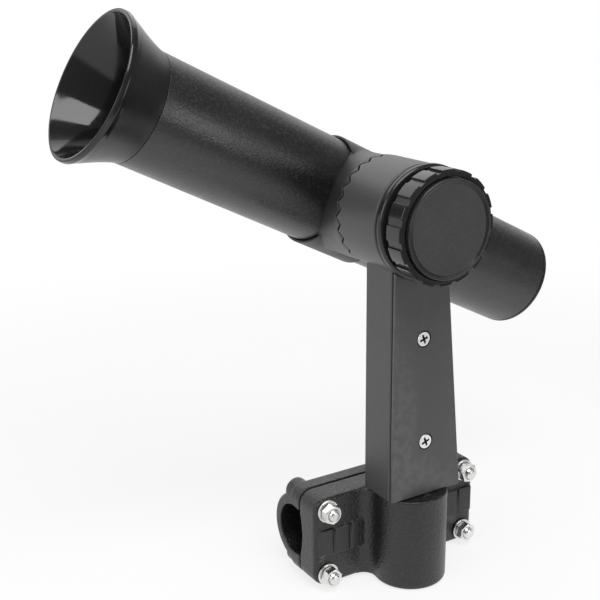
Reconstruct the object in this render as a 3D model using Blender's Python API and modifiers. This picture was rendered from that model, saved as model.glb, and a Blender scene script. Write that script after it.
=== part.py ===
"""Rail-mount fishing rod holder.

Frame: the origin is the middle of the rail bore. +X runs along the rail, +Y points from the
tightening knob towards the rod tube, and +Z is up. Lengths are in metres.
"""
import math

import bmesh
import bpy
from mathutils import Matrix

MM = 0.001

# Clearances
FIT_GAP = 0.3 * MM
THREAD_GAP = 0.3 * MM
TOOTH_GAP = 0.35 * MM
SPLIT_GAP = 0.8 * MM

# Rail clamp
RAIL_BORE = 24.0 * MM
CLAMP_WALL = 5.0 * MM
CLAMP_LENGTH = 91.0 * MM
CLAMP_HEIGHT = 43.0 * MM
CLAMP_CORNER = 6.0 * MM
FRONT_FACE_DEPTH = 18.5 * MM
SPLIT_DEPTH = 5.0 * MM
GROOVE_RADIUS = 34.0 * MM
GROOVE_DEPTH = 1.8 * MM
WING_THICKNESS = 8.0 * MM
BAND_HEIGHT = 13.0 * MM
BAND_RISE = 1.2 * MM
BAND_INSET = 1.5 * MM
BOLT_INSET = 6.5 * MM
BOLT_WALL = 1.0 * MM
BOLT_DIAMETER = 5.0 * MM
BOLT_HEAD_FLATS = 8.0 * MM
BOLT_HEAD_HEIGHT = 3.5 * MM
BOLT_SEAT_RISE = 1.6 * MM
BOLT_HEAD_SINK = 0.2 * MM
BOLT_TOWER_WALL = 0.55 * MM
BOLT_PROUD = 1.6 * MM
NUT_FLATS = 8.0 * MM
NUT_HEIGHT = 4.0 * MM
WASHER_RADIUS = 5.2 * MM
WASHER_THICKNESS = 1.0 * MM

# Socket boss on the front half and the swivel in it
BOSS_RADIUS = 17.0 * MM
BOSS_STANDOFF = 28.0 * MM
BOSS_DROP = 1.0 * MM
SOCKET_RADIUS = 9.0 * MM
SOCKET_FLOOR = -13.0 * MM
SWIVEL_SCREW_DIAMETER = 6.0 * MM
SWIVEL_SCREW_GRIP = 14.0 * MM
SWIVEL_HEAD_RADIUS = 5.0 * MM
SWIVEL_HEAD_HEIGHT = 3.0 * MM
SWIVEL_WASHER_RADIUS = 6.5 * MM
SWIVEL_WASHER_THICKNESS = 1.0 * MM
COUNTERBORE_RADIUS = 7.2 * MM
SPIGOT_FLANGE_HEIGHT = 3.0 * MM
SPIGOT_NECK_RADIUS = 5.5 * MM

# Post
POST_DEPTH = 21.0 * MM
POST_LEFT = 18.1 * MM
POST_RIGHT_FOOT = 20.3 * MM
POST_RIGHT_HEAD = 8.6 * MM
POST_WALL = 2.6 * MM
FOOT_PLATE = 5.0 * MM
COVER_THICKNESS = 1.8 * MM
COVER_SCREW_DROP = (52.0 * MM, 100.2 * MM)
SCREW_HEAD_RADIUS = 3.3 * MM
SCREW_HEAD_DEPTH = 1.7 * MM
SCREW_SHANK_RADIUS = 1.5 * MM
SCREW_LENGTH = 11.0 * MM
SCREW_POST_RADIUS = 3.8 * MM

# Head of the post and the toothed joint
HINGE_X = -5.0 * MM
HINGE_Z = 147.7 * MM
HEAD_RADIUS = 24.1 * MM
HEAD_DEPTH = 26.2 * MM
TOOTH_COUNT = 24
TOOTH_HEIGHT = 2.5 * MM
TOOTH_PLANE = -12.4 * MM
SPRING_POCKET_RADIUS = 13.6 * MM
SPRING_POCKET_DEPTH = 8.6 * MM
SEAT_POCKET_DEPTH = 3.6 * MM
PIVOT_DIAMETER = 8.0 * MM
PIVOT_HEAD_FLATS = 13.0 * MM
PIVOT_HEAD_HEIGHT = 5.3 * MM
SEAT_RADIUS = 12.4 * MM
SEAT_THICKNESS = 1.2 * MM
SPRING_RADIUS = 9.0 * MM
SPRING_WIRE = 1.3 * MM
SPRING_TURNS = 4

# Tightening knob
KNOB_FLANGE_RADIUS = 24.6 * MM
KNOB_FLANGE_THICKNESS = 3.0 * MM
KNOB_GROOVE_RADIUS = 20.8 * MM
KNOB_GROOVE_WIDTH = 1.6 * MM
KNOB_LUG_RADIUS = 24.1 * MM
KNOB_DEPTH = 15.6 * MM
KNOB_LUGS = 16
LUG_GAP = 2.9 * MM
LUG_GAP_DEPTH = 1.0 * MM
CAP_RADIUS = 20.9 * MM
CAP_THICKNESS = 3.0 * MM
CAP_PROUD = 1.5 * MM
KNOB_WASHER_RADIUS = 10.0 * MM
KNOB_WASHER_THICKNESS = 1.0 * MM
KNOB_NUT_FLATS = 13.0 * MM
KNOB_NUT_HEIGHT = 6.5 * MM

# Rod tube, mouth cup, tail plug and saddle
TUBE_TILT = math.radians(26.6)
TUBE_OFFSET = 33.6 * MM
TUBE_OUTER = 50.0 * MM
TUBE_WALL = 3.3 * MM
TUBE_FORE = 104.7 * MM
TUBE_AFT = 128.2 * MM
CUP_LENGTH = 22.4 * MM
CUP_LIP_RADIUS = 33.2 * MM
CUP_FLARE_POWER = 1.25
CUP_THROAT_RADIUS = 19.4 * MM
CUP_STEM = 16.0 * MM
CUP_LIP = 2.2 * MM
PLUG_LIP = 2.0 * MM
PLUG_STEM = 9.0 * MM
PLUG_DRAIN_RADIUS = 4.0 * MM
COLLAR_WALL = 1.5 * MM
COLLAR_FORE = 6.4 * MM
COLLAR_AFT = 24.0 * MM

# Facets round a full turn
FINE = 48
COARSE = 24
SMALL = 16
GROOVE_SIDES = 96
OVERCUT = 1.0 * MM

# Values that follow from the sizes above
BORE_RADIUS = RAIL_BORE / 2
FRONT_FACE = -FRONT_FACE_DEPTH
SPLIT_FRONT = -SPLIT_DEPTH - SPLIT_GAP / 2
SPLIT_BACK = -SPLIT_DEPTH + SPLIT_GAP / 2
GROOVE_CENTRE = SPLIT_FRONT - GROOVE_DEPTH + GROOVE_RADIUS
WING_BACK = SPLIT_BACK + WING_THICKNESS
BARREL_RADIUS = BORE_RADIUS + CLAMP_WALL
CLAMP_TOP = CLAMP_HEIGHT / 2
BOLT_RADIUS = BOLT_DIAMETER / 2
BOLT_HEAD_SEAT = WING_BACK + BOLT_SEAT_RISE
BOLT_POCKET_RADIUS = (BOLT_HEAD_FLATS + 2 * FIT_GAP) / math.sqrt(3)
BOLT_TOWER_RADIUS = BOLT_POCKET_RADIUS + BOLT_TOWER_WALL
BOLT_TOWER_BACK = BOLT_HEAD_SEAT + FIT_GAP + BOLT_HEAD_HEIGHT + BOLT_HEAD_SINK
BOLT_TIP = FRONT_FACE - WASHER_THICKNESS - NUT_HEIGHT - 2 * FIT_GAP - BOLT_PROUD
BOLT_X = CLAMP_LENGTH / 2 - BOLT_INSET
BOLT_Z = BORE_RADIUS + BOLT_WALL + BOLT_RADIUS + FIT_GAP
BOSS_Y = -BOSS_STANDOFF
BOSS_BASE = -CLAMP_TOP - BOSS_DROP
POST_FOOT = CLAMP_TOP + FIT_GAP
POST_FRONT = BOSS_Y - POST_DEPTH / 2
POST_BACK = BOSS_Y + POST_DEPTH / 2
TRAY_FRONT = POST_FRONT + COVER_THICKNESS + FIT_GAP
SPRING_FLOOR = TOOTH_PLANE - SPRING_POCKET_DEPTH
POST_TOP = HINGE_Z - SPRING_POCKET_RADIUS - POST_WALL
TRAY_TOP = HINGE_Z - HEAD_RADIUS - POST_WALL
HEAD_FRONT = TOOTH_PLANE - HEAD_DEPTH
PIVOT_RADIUS = PIVOT_DIAMETER / 2
PIVOT_HOLE = PIVOT_RADIUS + FIT_GAP
SEAT_FLOOR = TOOTH_PLANE + SEAT_POCKET_DEPTH
SEAT_BACK = SEAT_FLOOR - FIT_GAP
SEAT_FRONT = SEAT_BACK - SEAT_THICKNESS
KNOB_BACK = HEAD_FRONT - KNOB_WASHER_THICKNESS - 2 * FIT_GAP
KNOB_FACE = KNOB_BACK - KNOB_DEPTH
CAP_SEAT = KNOB_FACE + CAP_THICKNESS - CAP_PROUD
NUT_FRONT = CAP_SEAT + 2 * FIT_GAP
NUT_BACK = NUT_FRONT + KNOB_NUT_HEIGHT
TUBE_RADIUS = TUBE_OUTER / 2
TUBE_BORE_RADIUS = TUBE_RADIUS - TUBE_WALL
TUBE_FACE = TUBE_OFFSET - TUBE_RADIUS
PIVOT_HEAD_BACK = TUBE_FACE - 2 * FIT_GAP
PIVOT_HEAD_FRONT = PIVOT_HEAD_BACK - PIVOT_HEAD_HEIGHT
SPIGOT_BOTTOM = SOCKET_FLOOR + FIT_GAP
SPIGOT_FLANGE_RADIUS = POST_DEPTH / 2 - max(POST_WALL, COVER_THICKNESS + FIT_GAP) - FIT_GAP
COUNTERBORE_TOP = BOSS_BASE + SWIVEL_HEAD_HEIGHT + SWIVEL_WASHER_THICKNESS + 3 * FIT_GAP


def clear_scene():
    """Remove whatever the file holds and make the two collections."""
    for item in list(bpy.data.objects):
        bpy.data.objects.remove(item, do_unlink=True)
    parts = bpy.data.collections.new("rod_holder")
    cutters = bpy.data.collections.new("cutters")
    bpy.context.scene.collection.children.link(parts)
    bpy.context.scene.collection.children.link(cutters)
    return parts, cutters


PARTS, CUTTERS = clear_scene()


def finish(name, colour, roughness, metallic=0.0):
    """Return a Principled material."""
    material = bpy.data.materials.new(name)
    material.use_nodes = True
    shader = material.node_tree.nodes["Principled BSDF"]
    shader.inputs["Base Color"].default_value = (*colour, 1.0)
    shader.inputs["Roughness"].default_value = roughness
    shader.inputs["Metallic"].default_value = metallic
    return material


FINISHES = {
    "nylon": finish("black_nylon", (0.030, 0.030, 0.032), 0.55),
    "satin": finish("satin_black", (0.022, 0.022, 0.024), 0.45),
    "gloss": finish("gloss_black", (0.012, 0.012, 0.013), 0.15),
    "texture": finish("textured_black", (0.020, 0.020, 0.021), 0.60),
    "steel": finish("bright_steel", (0.72, 0.72, 0.70), 0.25, 1.0),
    "brass": finish("brass", (0.60, 0.45, 0.18), 0.35, 1.0),
}


def frame(name, location, rotation=(0.0, 0.0, 0.0), parent=None):
    """Return an empty that carries the pieces of one moving body."""
    empty = bpy.data.objects.new(name, None)
    empty.empty_display_size = 0.02
    empty.location = location
    empty.rotation_euler = rotation
    empty.parent = parent
    PARTS.objects.link(empty)
    return empty


def add(name, mesh, parent=None, finish_name="nylon"):
    """Place a mesh as a named piece of the object."""
    piece = bpy.data.objects.new(name, mesh)
    piece.parent = parent
    mesh.materials.clear()
    mesh.materials.append(FINISHES[finish_name])
    PARTS.objects.link(piece)
    return piece


def as_cutter(piece):
    """Turn a piece into a hidden guide for a Boolean."""
    PARTS.objects.unlink(piece)
    CUTTERS.objects.link(piece)
    piece.hide_render = True
    piece.display_type = "WIRE"
    return piece


def boolean(piece, other, operation):
    """Cut another shape from a piece, or join it on."""
    step = piece.modifiers.new(operation.lower(), "BOOLEAN")
    step.operation = operation
    step.solver = "EXACT"
    step.object = as_cutter(other)


def cut(piece, *others):
    """Cut each of the other shapes from a piece."""
    for other in others:
        boolean(piece, other, "DIFFERENCE")


def join(piece, *others):
    """Join each of the other shapes to a piece."""
    for other in others:
        boolean(piece, other, "UNION")


def mesh_of(name, work, smooth=True):
    """Write a bmesh to a new mesh."""
    mesh = bpy.data.meshes.new(name)
    work.to_mesh(mesh)
    work.free()
    if smooth:
        mesh.shade_smooth()
        mesh.set_sharp_from_angle(angle=math.radians(35))
    return mesh


def block(name, low, high, parent=None, finish_name="nylon", corner=0.0, along=1):
    """Return a box between two corners, with the edges along one axis rounded."""
    work = bmesh.new()
    bmesh.ops.create_cube(work, size=1.0)
    size = [b - a for a, b in zip(low, high)]
    middle = [(a + b) / 2 for a, b in zip(low, high)]
    bmesh.ops.scale(work, vec=size, verts=work.verts)
    bmesh.ops.translate(work, vec=middle, verts=work.verts)
    if corner > 0.0:
        edges = []
        for edge in work.edges:
            run = edge.verts[1].co - edge.verts[0].co
            if abs(run[along]) > 0.999 * run.length:
                edges.append(edge)
        bmesh.ops.bevel(work, geom=edges, offset=corner, segments=4, profile=0.5, affect="EDGES")
    return add(name, mesh_of(name, work, smooth=False), parent, finish_name)


def post_block(name, inset, front, back, foot, top, parent=None, finish_name="satin"):
    """Return the post's outline, upright on the left and leaning on the right."""
    work = bmesh.new()
    bmesh.ops.create_cube(work, size=2.0)
    lean = (POST_RIGHT_FOOT - POST_RIGHT_HEAD) / (HINGE_Z - POST_FOOT)
    for vertex in work.verts:
        z = top if vertex.co.z > 0 else foot
        right = POST_RIGHT_FOOT - lean * (z - POST_FOOT) - inset
        x = right if vertex.co.x > 0 else inset - POST_LEFT
        y = back if vertex.co.y > 0 else front
        vertex.co = (x, y - BOSS_Y, z)
    return add(name, mesh_of(name, work, smooth=False), parent, finish_name)


def rod(name, radius, start, end, parent=None, finish_name="steel", sides=SMALL, centre=(0.0, 0.0)):
    """Return a round or many-sided bar along its parent's Z."""
    work = bmesh.new()
    place = Matrix.Translation((centre[0], centre[1], (start + end) / 2))
    bmesh.ops.create_cone(
        work, cap_ends=True, segments=sides, radius1=radius, radius2=radius, depth=end - start, matrix=place
    )
    return add(name, mesh_of(name, work), parent, finish_name)


def turned(name, profile, parent=None, finish_name="steel", sides=FINE):
    """Return a ring turned about its parent's Z from a closed outline of (radius, height).

    The outline runs down its outer side and comes back up its inner side.
    """
    work = bmesh.new()
    points = [work.verts.new((radius, 0.0, height)) for radius, height in profile]
    for first, second in zip(points, points[1:] + points[:1]):
        work.edges.new((first, second))
    mesh = mesh_of(name, work, smooth=False)
    piece = add(name, mesh, parent, finish_name)
    screw = piece.modifiers.new("turn", "SCREW")
    screw.axis = "Z"
    screw.angle = math.tau
    screw.steps = sides
    screw.render_steps = sides
    screw.use_merge_vertices = True
    screw.merge_threshold = 0.00001
    screw.use_smooth_shade = True
    return piece


def ring(name, outer, inner, low, high, parent=None, finish_name="steel", sides=COARSE):
    """Return a plain washer-shaped ring."""
    profile = [(outer, high), (outer, low), (inner, low), (inner, high)]
    return turned(name, profile, parent, finish_name, sides)


def hex_ring(name, flats, bore, low, high, parent=None, finish_name="steel"):
    """Return a hexagon nut with a round bore."""
    nut = rod(name, flats / math.sqrt(3), low, high, parent, finish_name, sides=6)
    hole = rod(name + "_hole", bore, low - OVERCUT, high + OVERCUT, parent, sides=SMALL)
    cut(nut, hole)
    return nut


def toothed_ring(name, loops, parent, finish_name):
    """Return a ring lofted through loops of (radius, height, tooth), the last joined to the first.

    A loop whose tooth is 1 zigzags by half the tooth height about its own height. Every face is
    split from its wider loop to its narrower one, so two meshing rings keep the same flanks.
    """
    work = bmesh.new()
    count = 2 * TOOTH_COUNT
    rows = []
    for radius, height, tooth in loops:
        row = []
        for step in range(count):
            angle = math.tau * step / count
            wave = tooth * TOOTH_HEIGHT / 2 * (1 if step % 2 else -1)
            place = (radius * math.cos(angle), radius * math.sin(angle), height + wave)
            row.append(work.verts.new(place))
        rows.append(row)
    radii = [radius for radius, _, _ in loops]
    pairs = zip(rows, rows[1:] + rows[:1], radii, radii[1:] + radii[:1])
    for first, second, first_radius, second_radius in pairs:
        wide, narrow = (first, second) if first_radius > second_radius else (second, first)
        for step in range(count):
            after = (step + 1) % count
            work.faces.new((wide[step], wide[after], narrow[after]))
            work.faces.new((wide[step], narrow[after], narrow[step]))
    bmesh.ops.recalc_face_normals(work, faces=work.faces)
    return add(name, mesh_of(name, work, smooth=False), parent, finish_name)


# Frames: a frame turned towards the knob measures heights along -Y
CLAMP_FRAME = frame("clamp_frame", (0.0, 0.0, 0.0))
TOWARDS_KNOB = (math.pi / 2, 0.0, 0.0)
BOLT_FRAME = frame("bolt_frame", (0.0, 0.0, 0.0), TOWARDS_KNOB, CLAMP_FRAME)
RAIL_FRAME = frame("rail_frame", (0.0, 0.0, 0.0), (0.0, math.pi / 2, 0.0), CLAMP_FRAME)
SWIVEL_FRAME = frame("swivel_frame", (0.0, BOSS_Y, 0.0))
HINGE_FRAME = frame("hinge_frame", (HINGE_X, -BOSS_Y, HINGE_Z), TOWARDS_KNOB, SWIVEL_FRAME)
TUBE_FRAME = frame(
    "tube_frame", (HINGE_X, TUBE_OFFSET - BOSS_Y, HINGE_Z), (0.0, TUBE_TILT - math.pi / 2, 0.0), SWIVEL_FRAME
)


def bolt_places():
    """Yield each clamp bolt's name ending and its place in the bolt frame."""
    for row, z_sign in (("upper", 1), ("lower", -1)):
        for side, x_sign in (("left", -1), ("right", 1)):
            yield f"{row}_{side}", (x_sign * BOLT_X, z_sign * BOLT_Z)


def bolt_holes(name):
    """Return a bar for each clamp bolt's hole through one half."""
    for ending, place in bolt_places():
        hole = BOLT_RADIUS + FIT_GAP
        depth = BOLT_HEAD_SEAT + OVERCUT
        yield rod(f"{name}_hole_{ending}", hole, -depth, FRONT_FACE_DEPTH + OVERCUT, BOLT_FRAME, centre=place)


def build_front_half():
    """Front clamp half with the socket boss for the post."""
    half_length = CLAMP_LENGTH / 2
    low = (-half_length, FRONT_FACE, -CLAMP_TOP)
    high = (half_length, SPLIT_FRONT, CLAMP_TOP)
    half = block("clamp_front_half", low, high, CLAMP_FRAME, corner=CLAMP_CORNER)
    band_reach = half_length - BAND_INSET
    band_low = (-band_reach, FRONT_FACE - BAND_RISE, -BAND_HEIGHT / 2)
    band = block("front_band", band_low, (band_reach, FRONT_FACE + OVERCUT, BAND_HEIGHT / 2), CLAMP_FRAME)
    web_low = (-BOSS_RADIUS, BOSS_Y, -CLAMP_TOP + OVERCUT)
    web = block("boss_web", web_low, (BOSS_RADIUS, FRONT_FACE + OVERCUT, CLAMP_TOP), CLAMP_FRAME)
    boss = rod("boss", BOSS_RADIUS, BOSS_BASE, CLAMP_TOP, SWIVEL_FRAME, sides=FINE)
    join(half, band, web, boss)
    socket = rod("socket", SOCKET_RADIUS, SOCKET_FLOOR, CLAMP_TOP + OVERCUT, SWIVEL_FRAME, sides=COARSE)
    counterbore = rod(
        "counterbore", COUNTERBORE_RADIUS, BOSS_BASE - OVERCUT, COUNTERBORE_TOP, SWIVEL_FRAME, sides=COARSE
    )
    screw_hole = rod(
        "swivel_hole", SWIVEL_SCREW_DIAMETER / 2 + FIT_GAP, BOSS_BASE, SOCKET_FLOOR + OVERCUT, SWIVEL_FRAME
    )
    reach = half_length + OVERCUT
    middle = (0.0, GROOVE_CENTRE)
    groove = rod("rail_groove", GROOVE_RADIUS, -reach, reach, RAIL_FRAME, sides=GROOVE_SIDES, centre=middle)
    cut(half, groove, *bolt_holes("front"), socket, counterbore, screw_hole)


def build_back_half():
    """Back clamp half: a jaw round the rail, with a sunk seat for each bolt's head."""
    half_length = CLAMP_LENGTH / 2
    reach = half_length + OVERCUT
    low = (-half_length, SPLIT_BACK, -CLAMP_TOP)
    high = (half_length, WING_BACK, CLAMP_TOP)
    half = block("clamp_back_half", low, high, CLAMP_FRAME, corner=CLAMP_CORNER)
    barrel = rod("barrel", BARREL_RADIUS, -half_length, half_length, RAIL_FRAME, sides=FINE)
    outside = BARREL_RADIUS + OVERCUT
    trim = block("barrel_trim", (-reach, -outside, -outside), (reach, SPLIT_BACK + FIT_GAP, outside), CLAMP_FRAME)
    cut(barrel, trim)
    join(half, barrel)
    for ending, place in bolt_places():
        foot = -SPLIT_BACK - FIT_GAP
        tower = rod(
            f"tower_{ending}", BOLT_TOWER_RADIUS, -BOLT_TOWER_BACK, foot, BOLT_FRAME, sides=COARSE, centre=place
        )
        join(half, tower)
    for ending, place in bolt_places():
        pocket = rod(
            f"pocket_{ending}", BOLT_POCKET_RADIUS, -outside, -BOLT_HEAD_SEAT, BOLT_FRAME, sides=6, centre=place
        )
        cut(half, pocket)
    bore = rod("rail_bore", BORE_RADIUS, -reach, reach, RAIL_FRAME, sides=FINE)
    slot_half = BORE_RADIUS - FIT_GAP
    slot = block("rail_slot", (-reach, SPLIT_BACK - OVERCUT, -slot_half), (reach, 0.0, slot_half), CLAMP_FRAME)
    cut(half, bore, slot, *bolt_holes("back"))


def build_clamp_fasteners():
    """Four bolts from behind, each with a washer and a nut in front."""
    for ending, place in bolt_places():
        spot = frame(f"bolt_spot_{ending}", (place[0], place[1], 0.0), (0.0, 0.0, 0.0), BOLT_FRAME)
        head_seat = -BOLT_HEAD_SEAT - FIT_GAP
        head = rod(
            f"clamp_bolt_{ending}",
            BOLT_HEAD_FLATS / math.sqrt(3),
            head_seat - BOLT_HEAD_HEIGHT,
            head_seat,
            spot,
            "steel",
            sides=6,
        )
        shank = rod(f"shank_{ending}", BOLT_RADIUS, head_seat - OVERCUT, -BOLT_TIP, spot)
        join(head, shank)
        bore = BOLT_RADIUS + THREAD_GAP
        washer_low = FRONT_FACE_DEPTH + FIT_GAP
        washer_high = washer_low + WASHER_THICKNESS
        ring(f"clamp_washer_{ending}", WASHER_RADIUS, bore, washer_low, washer_high, spot)
        nut_low = washer_high + FIT_GAP
        hex_ring(f"clamp_nut_{ending}", NUT_FLATS, bore, nut_low, nut_low + NUT_HEIGHT, spot)


def build_swivel():
    """Spigot under the post, held in the socket by a screw from below."""
    flange_low = POST_FOOT + FOOT_PLATE + FIT_GAP
    flange_high = flange_low + SPIGOT_FLANGE_HEIGHT
    journal = SOCKET_RADIUS - FIT_GAP
    neck = SPIGOT_NECK_RADIUS - FIT_GAP
    journal_top = CLAMP_TOP - OVERCUT
    hole = SWIVEL_SCREW_DIAMETER / 2 + THREAD_GAP
    profile = [
        (SPIGOT_FLANGE_RADIUS, flange_high),
        (SPIGOT_FLANGE_RADIUS, flange_low),
        (neck, flange_low),
        (neck, journal_top),
        (journal, journal_top),
        (journal, SPIGOT_BOTTOM),
        (hole, SPIGOT_BOTTOM),
        (hole, flange_high),
    ]
    turned("swivel_spigot", profile, SWIVEL_FRAME, "steel", COARSE)
    washer_high = COUNTERBORE_TOP - FIT_GAP
    washer_low = washer_high - SWIVEL_WASHER_THICKNESS
    ring("swivel_washer", SWIVEL_WASHER_RADIUS, hole, washer_low, washer_high, SWIVEL_FRAME)
    head_high = washer_low - FIT_GAP
    head_low = head_high - SWIVEL_HEAD_HEIGHT
    screw = rod("swivel_screw", SWIVEL_HEAD_RADIUS, head_low, head_high, SWIVEL_FRAME)
    tip = SOCKET_FLOOR + SWIVEL_SCREW_GRIP
    shank = rod("swivel_shank", SWIVEL_SCREW_DIAMETER / 2, head_high - OVERCUT, tip, SWIVEL_FRAME)
    join(screw, shank)


def cover_screw_places():
    """Yield each cover screw's name ending, its X and its height."""
    lean = (POST_RIGHT_FOOT - POST_RIGHT_HEAD) / (HINGE_Z - POST_FOOT)
    for ending, drop in zip(("upper", "lower"), COVER_SCREW_DROP):
        z = HINGE_Z - drop
        right = POST_RIGHT_FOOT - lean * (z - POST_FOOT)
        yield ending, (right - POST_LEFT) / 2, z


def build_post_shell():
    """Post moulding: an open-fronted tray with screw posts, a foot plate and the toothed head."""
    shell = post_block("post_shell", 0.0, TRAY_FRONT, POST_BACK, POST_FOOT, POST_TOP, SWIVEL_FRAME)
    tray = post_block(
        "post_tray",
        POST_WALL,
        TRAY_FRONT - OVERCUT,
        POST_BACK - POST_WALL,
        POST_FOOT + FOOT_PLATE,
        TRAY_TOP,
        SWIVEL_FRAME,
    )
    cut(shell, tray)
    for ending, x, z in cover_screw_places():
        spot = frame(f"screw_post_{ending}", (x, -BOSS_Y, z), TOWARDS_KNOB, SWIVEL_FRAME)
        back = -POST_BACK + POST_WALL - OVERCUT
        post = rod(f"screw_tower_{ending}", SCREW_POST_RADIUS, back, -TRAY_FRONT, spot)
        hole_end = -POST_FRONT - SCREW_LENGTH - OVERCUT
        hole = rod(f"screw_bore_{ending}", SCREW_SHANK_RADIUS + THREAD_GAP, hole_end, -TRAY_FRONT + OVERCUT, spot)
        join(shell, post)
        cut(shell, hole)
    loops = [
        (PIVOT_HOLE, -HEAD_FRONT, 0),
        (HEAD_RADIUS, -HEAD_FRONT, 0),
        (HEAD_RADIUS, -TOOTH_PLANE + TOOTH_GAP / 2, 1),
        (SPRING_POCKET_RADIUS, -TOOTH_PLANE + TOOTH_GAP / 2, 1),
        (SPRING_POCKET_RADIUS, -SPRING_FLOOR, 0),
        (PIVOT_HOLE, -SPRING_FLOOR, 0),
    ]
    head = toothed_ring("post_head", loops, HINGE_FRAME, "satin")
    join(shell, head)
    foot_hole = rod(
        "foot_hole", SPIGOT_NECK_RADIUS, POST_FOOT - OVERCUT, POST_FOOT + FOOT_PLATE + OVERCUT, SWIVEL_FRAME, sides=COARSE
    )
    cut(shell, foot_hole)


def build_post_cover():
    """Front cover of the post with its two countersunk screws."""
    back = TRAY_FRONT - FIT_GAP
    cover = post_block("post_cover", 0.0, POST_FRONT, back, POST_FOOT, HINGE_Z, SWIVEL_FRAME)
    arch = rod(
        "cover_arch", HEAD_RADIUS + FIT_GAP, -back - OVERCUT, -POST_FRONT + OVERCUT, HINGE_FRAME, sides=2 * TOOTH_COUNT
    )
    cut(cover, arch)
    for ending, x, z in cover_screw_places():
        spot = frame(f"screw_spot_{ending}", (x, -BOSS_Y, z), TOWARDS_KNOB, SWIVEL_FRAME)
        face = -POST_FRONT
        head = SCREW_HEAD_RADIUS
        shank = SCREW_SHANK_RADIUS
        seat = face - SCREW_HEAD_DEPTH
        slope = (head - shank) / SCREW_HEAD_DEPTH
        over = OVERCUT * slope
        sink_profile = [
            (head + FIT_GAP + over, face + OVERCUT),
            (shank + FIT_GAP, seat),
            (shank + FIT_GAP, -back - OVERCUT),
            (0.0, -back - OVERCUT),
            (0.0, face + OVERCUT),
        ]
        cut(cover, solid_turned(f"countersink_{ending}", sink_profile, spot))
        screw_profile = [
            (head, face),
            (shank, seat),
            (shank, face - SCREW_LENGTH),
            (0.0, face - SCREW_LENGTH),
            (0.0, face),
        ]
        solid_turned(f"cover_screw_{ending}", screw_profile, spot)


def solid_turned(name, profile, parent, finish_name="steel", sides=SMALL):
    """Return a solid turned about its parent's Z; the outline's last two points lie on the axis."""
    work = bmesh.new()
    points = [work.verts.new((radius, 0.0, height)) for radius, height in reversed(profile)]
    edges = [work.edges.new(pair) for pair in zip(points, points[1:])]
    bmesh.ops.spin(
        work,
        geom=points + edges,
        cent=(0.0, 0.0, 0.0),
        axis=(0.0, 0.0, 1.0),
        angle=math.tau,
        steps=sides,
        use_merge=True,
    )
    bmesh.ops.remove_doubles(work, verts=work.verts, dist=0.00001)
    bmesh.ops.dissolve_degenerate(work, dist=0.00001, edges=work.edges)
    bmesh.ops.holes_fill(work, edges=work.edges, sides=0)
    bmesh.ops.recalc_face_normals(work, faces=work.faces)
    return add(name, mesh_of(name, work), parent, finish_name)


def build_knob():
    """Tightening knob with its flange, lugs, cap, captive nut and washer."""
    base = -KNOB_BACK
    face = -KNOB_FACE
    flange = base + KNOB_FLANGE_THICKNESS
    groove = flange + KNOB_GROOVE_WIDTH
    seat = -CAP_SEAT
    profile = [
        (KNOB_LUG_RADIUS, face),
        (KNOB_LUG_RADIUS, groove),
        (KNOB_GROOVE_RADIUS, groove),
        (KNOB_GROOVE_RADIUS, flange),
        (KNOB_FLANGE_RADIUS, flange),
        (KNOB_FLANGE_RADIUS, base),
        (PIVOT_HOLE, base),
        (PIVOT_HOLE, seat),
        (CAP_RADIUS + FIT_GAP, seat),
        (CAP_RADIUS + FIT_GAP, face),
    ]
    knob = turned("knob_body", profile, HINGE_FRAME, "gloss")
    for lug in range(KNOB_LUGS):
        angle = math.tau * (lug + 0.5) / KNOB_LUGS
        spot = frame(f"lug_spot_{lug}", (0.0, 0.0, 0.0), (0.0, 0.0, angle), HINGE_FRAME)
        low = (KNOB_LUG_RADIUS - LUG_GAP_DEPTH, -LUG_GAP / 2, groove - KNOB_GROOVE_WIDTH / 2)
        high = (KNOB_LUG_RADIUS + OVERCUT, LUG_GAP / 2, face + OVERCUT)
        cut(knob, block(f"lug_gap_{lug}", low, high, spot))
    pocket_low = -NUT_BACK - FIT_GAP
    pocket = rod(
        "nut_pocket", KNOB_NUT_FLATS / math.sqrt(3) + FIT_GAP, pocket_low, seat + OVERCUT, HINGE_FRAME, sides=6
    )
    cut(knob, pocket)
    cap_low = seat + FIT_GAP
    solid_profile = [
        (CAP_RADIUS, cap_low + CAP_THICKNESS - CAP_PROUD / 2),
        (CAP_RADIUS, cap_low),
        (0.0, cap_low),
        (0.0, cap_low + CAP_THICKNESS),
    ]
    edge = (CAP_RADIUS - CAP_PROUD / 2, cap_low + CAP_THICKNESS)
    solid_turned("knob_cap", [edge] + solid_profile, HINGE_FRAME, "satin", FINE)
    hex_ring("knob_nut", KNOB_NUT_FLATS, PIVOT_HOLE, -NUT_BACK, -NUT_FRONT, HINGE_FRAME, "brass")
    washer_low = -HEAD_FRONT + FIT_GAP
    washer_high = washer_low + KNOB_WASHER_THICKNESS
    ring("knob_washer", KNOB_WASHER_RADIUS, PIVOT_HOLE, washer_low, washer_high, HINGE_FRAME)


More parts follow.
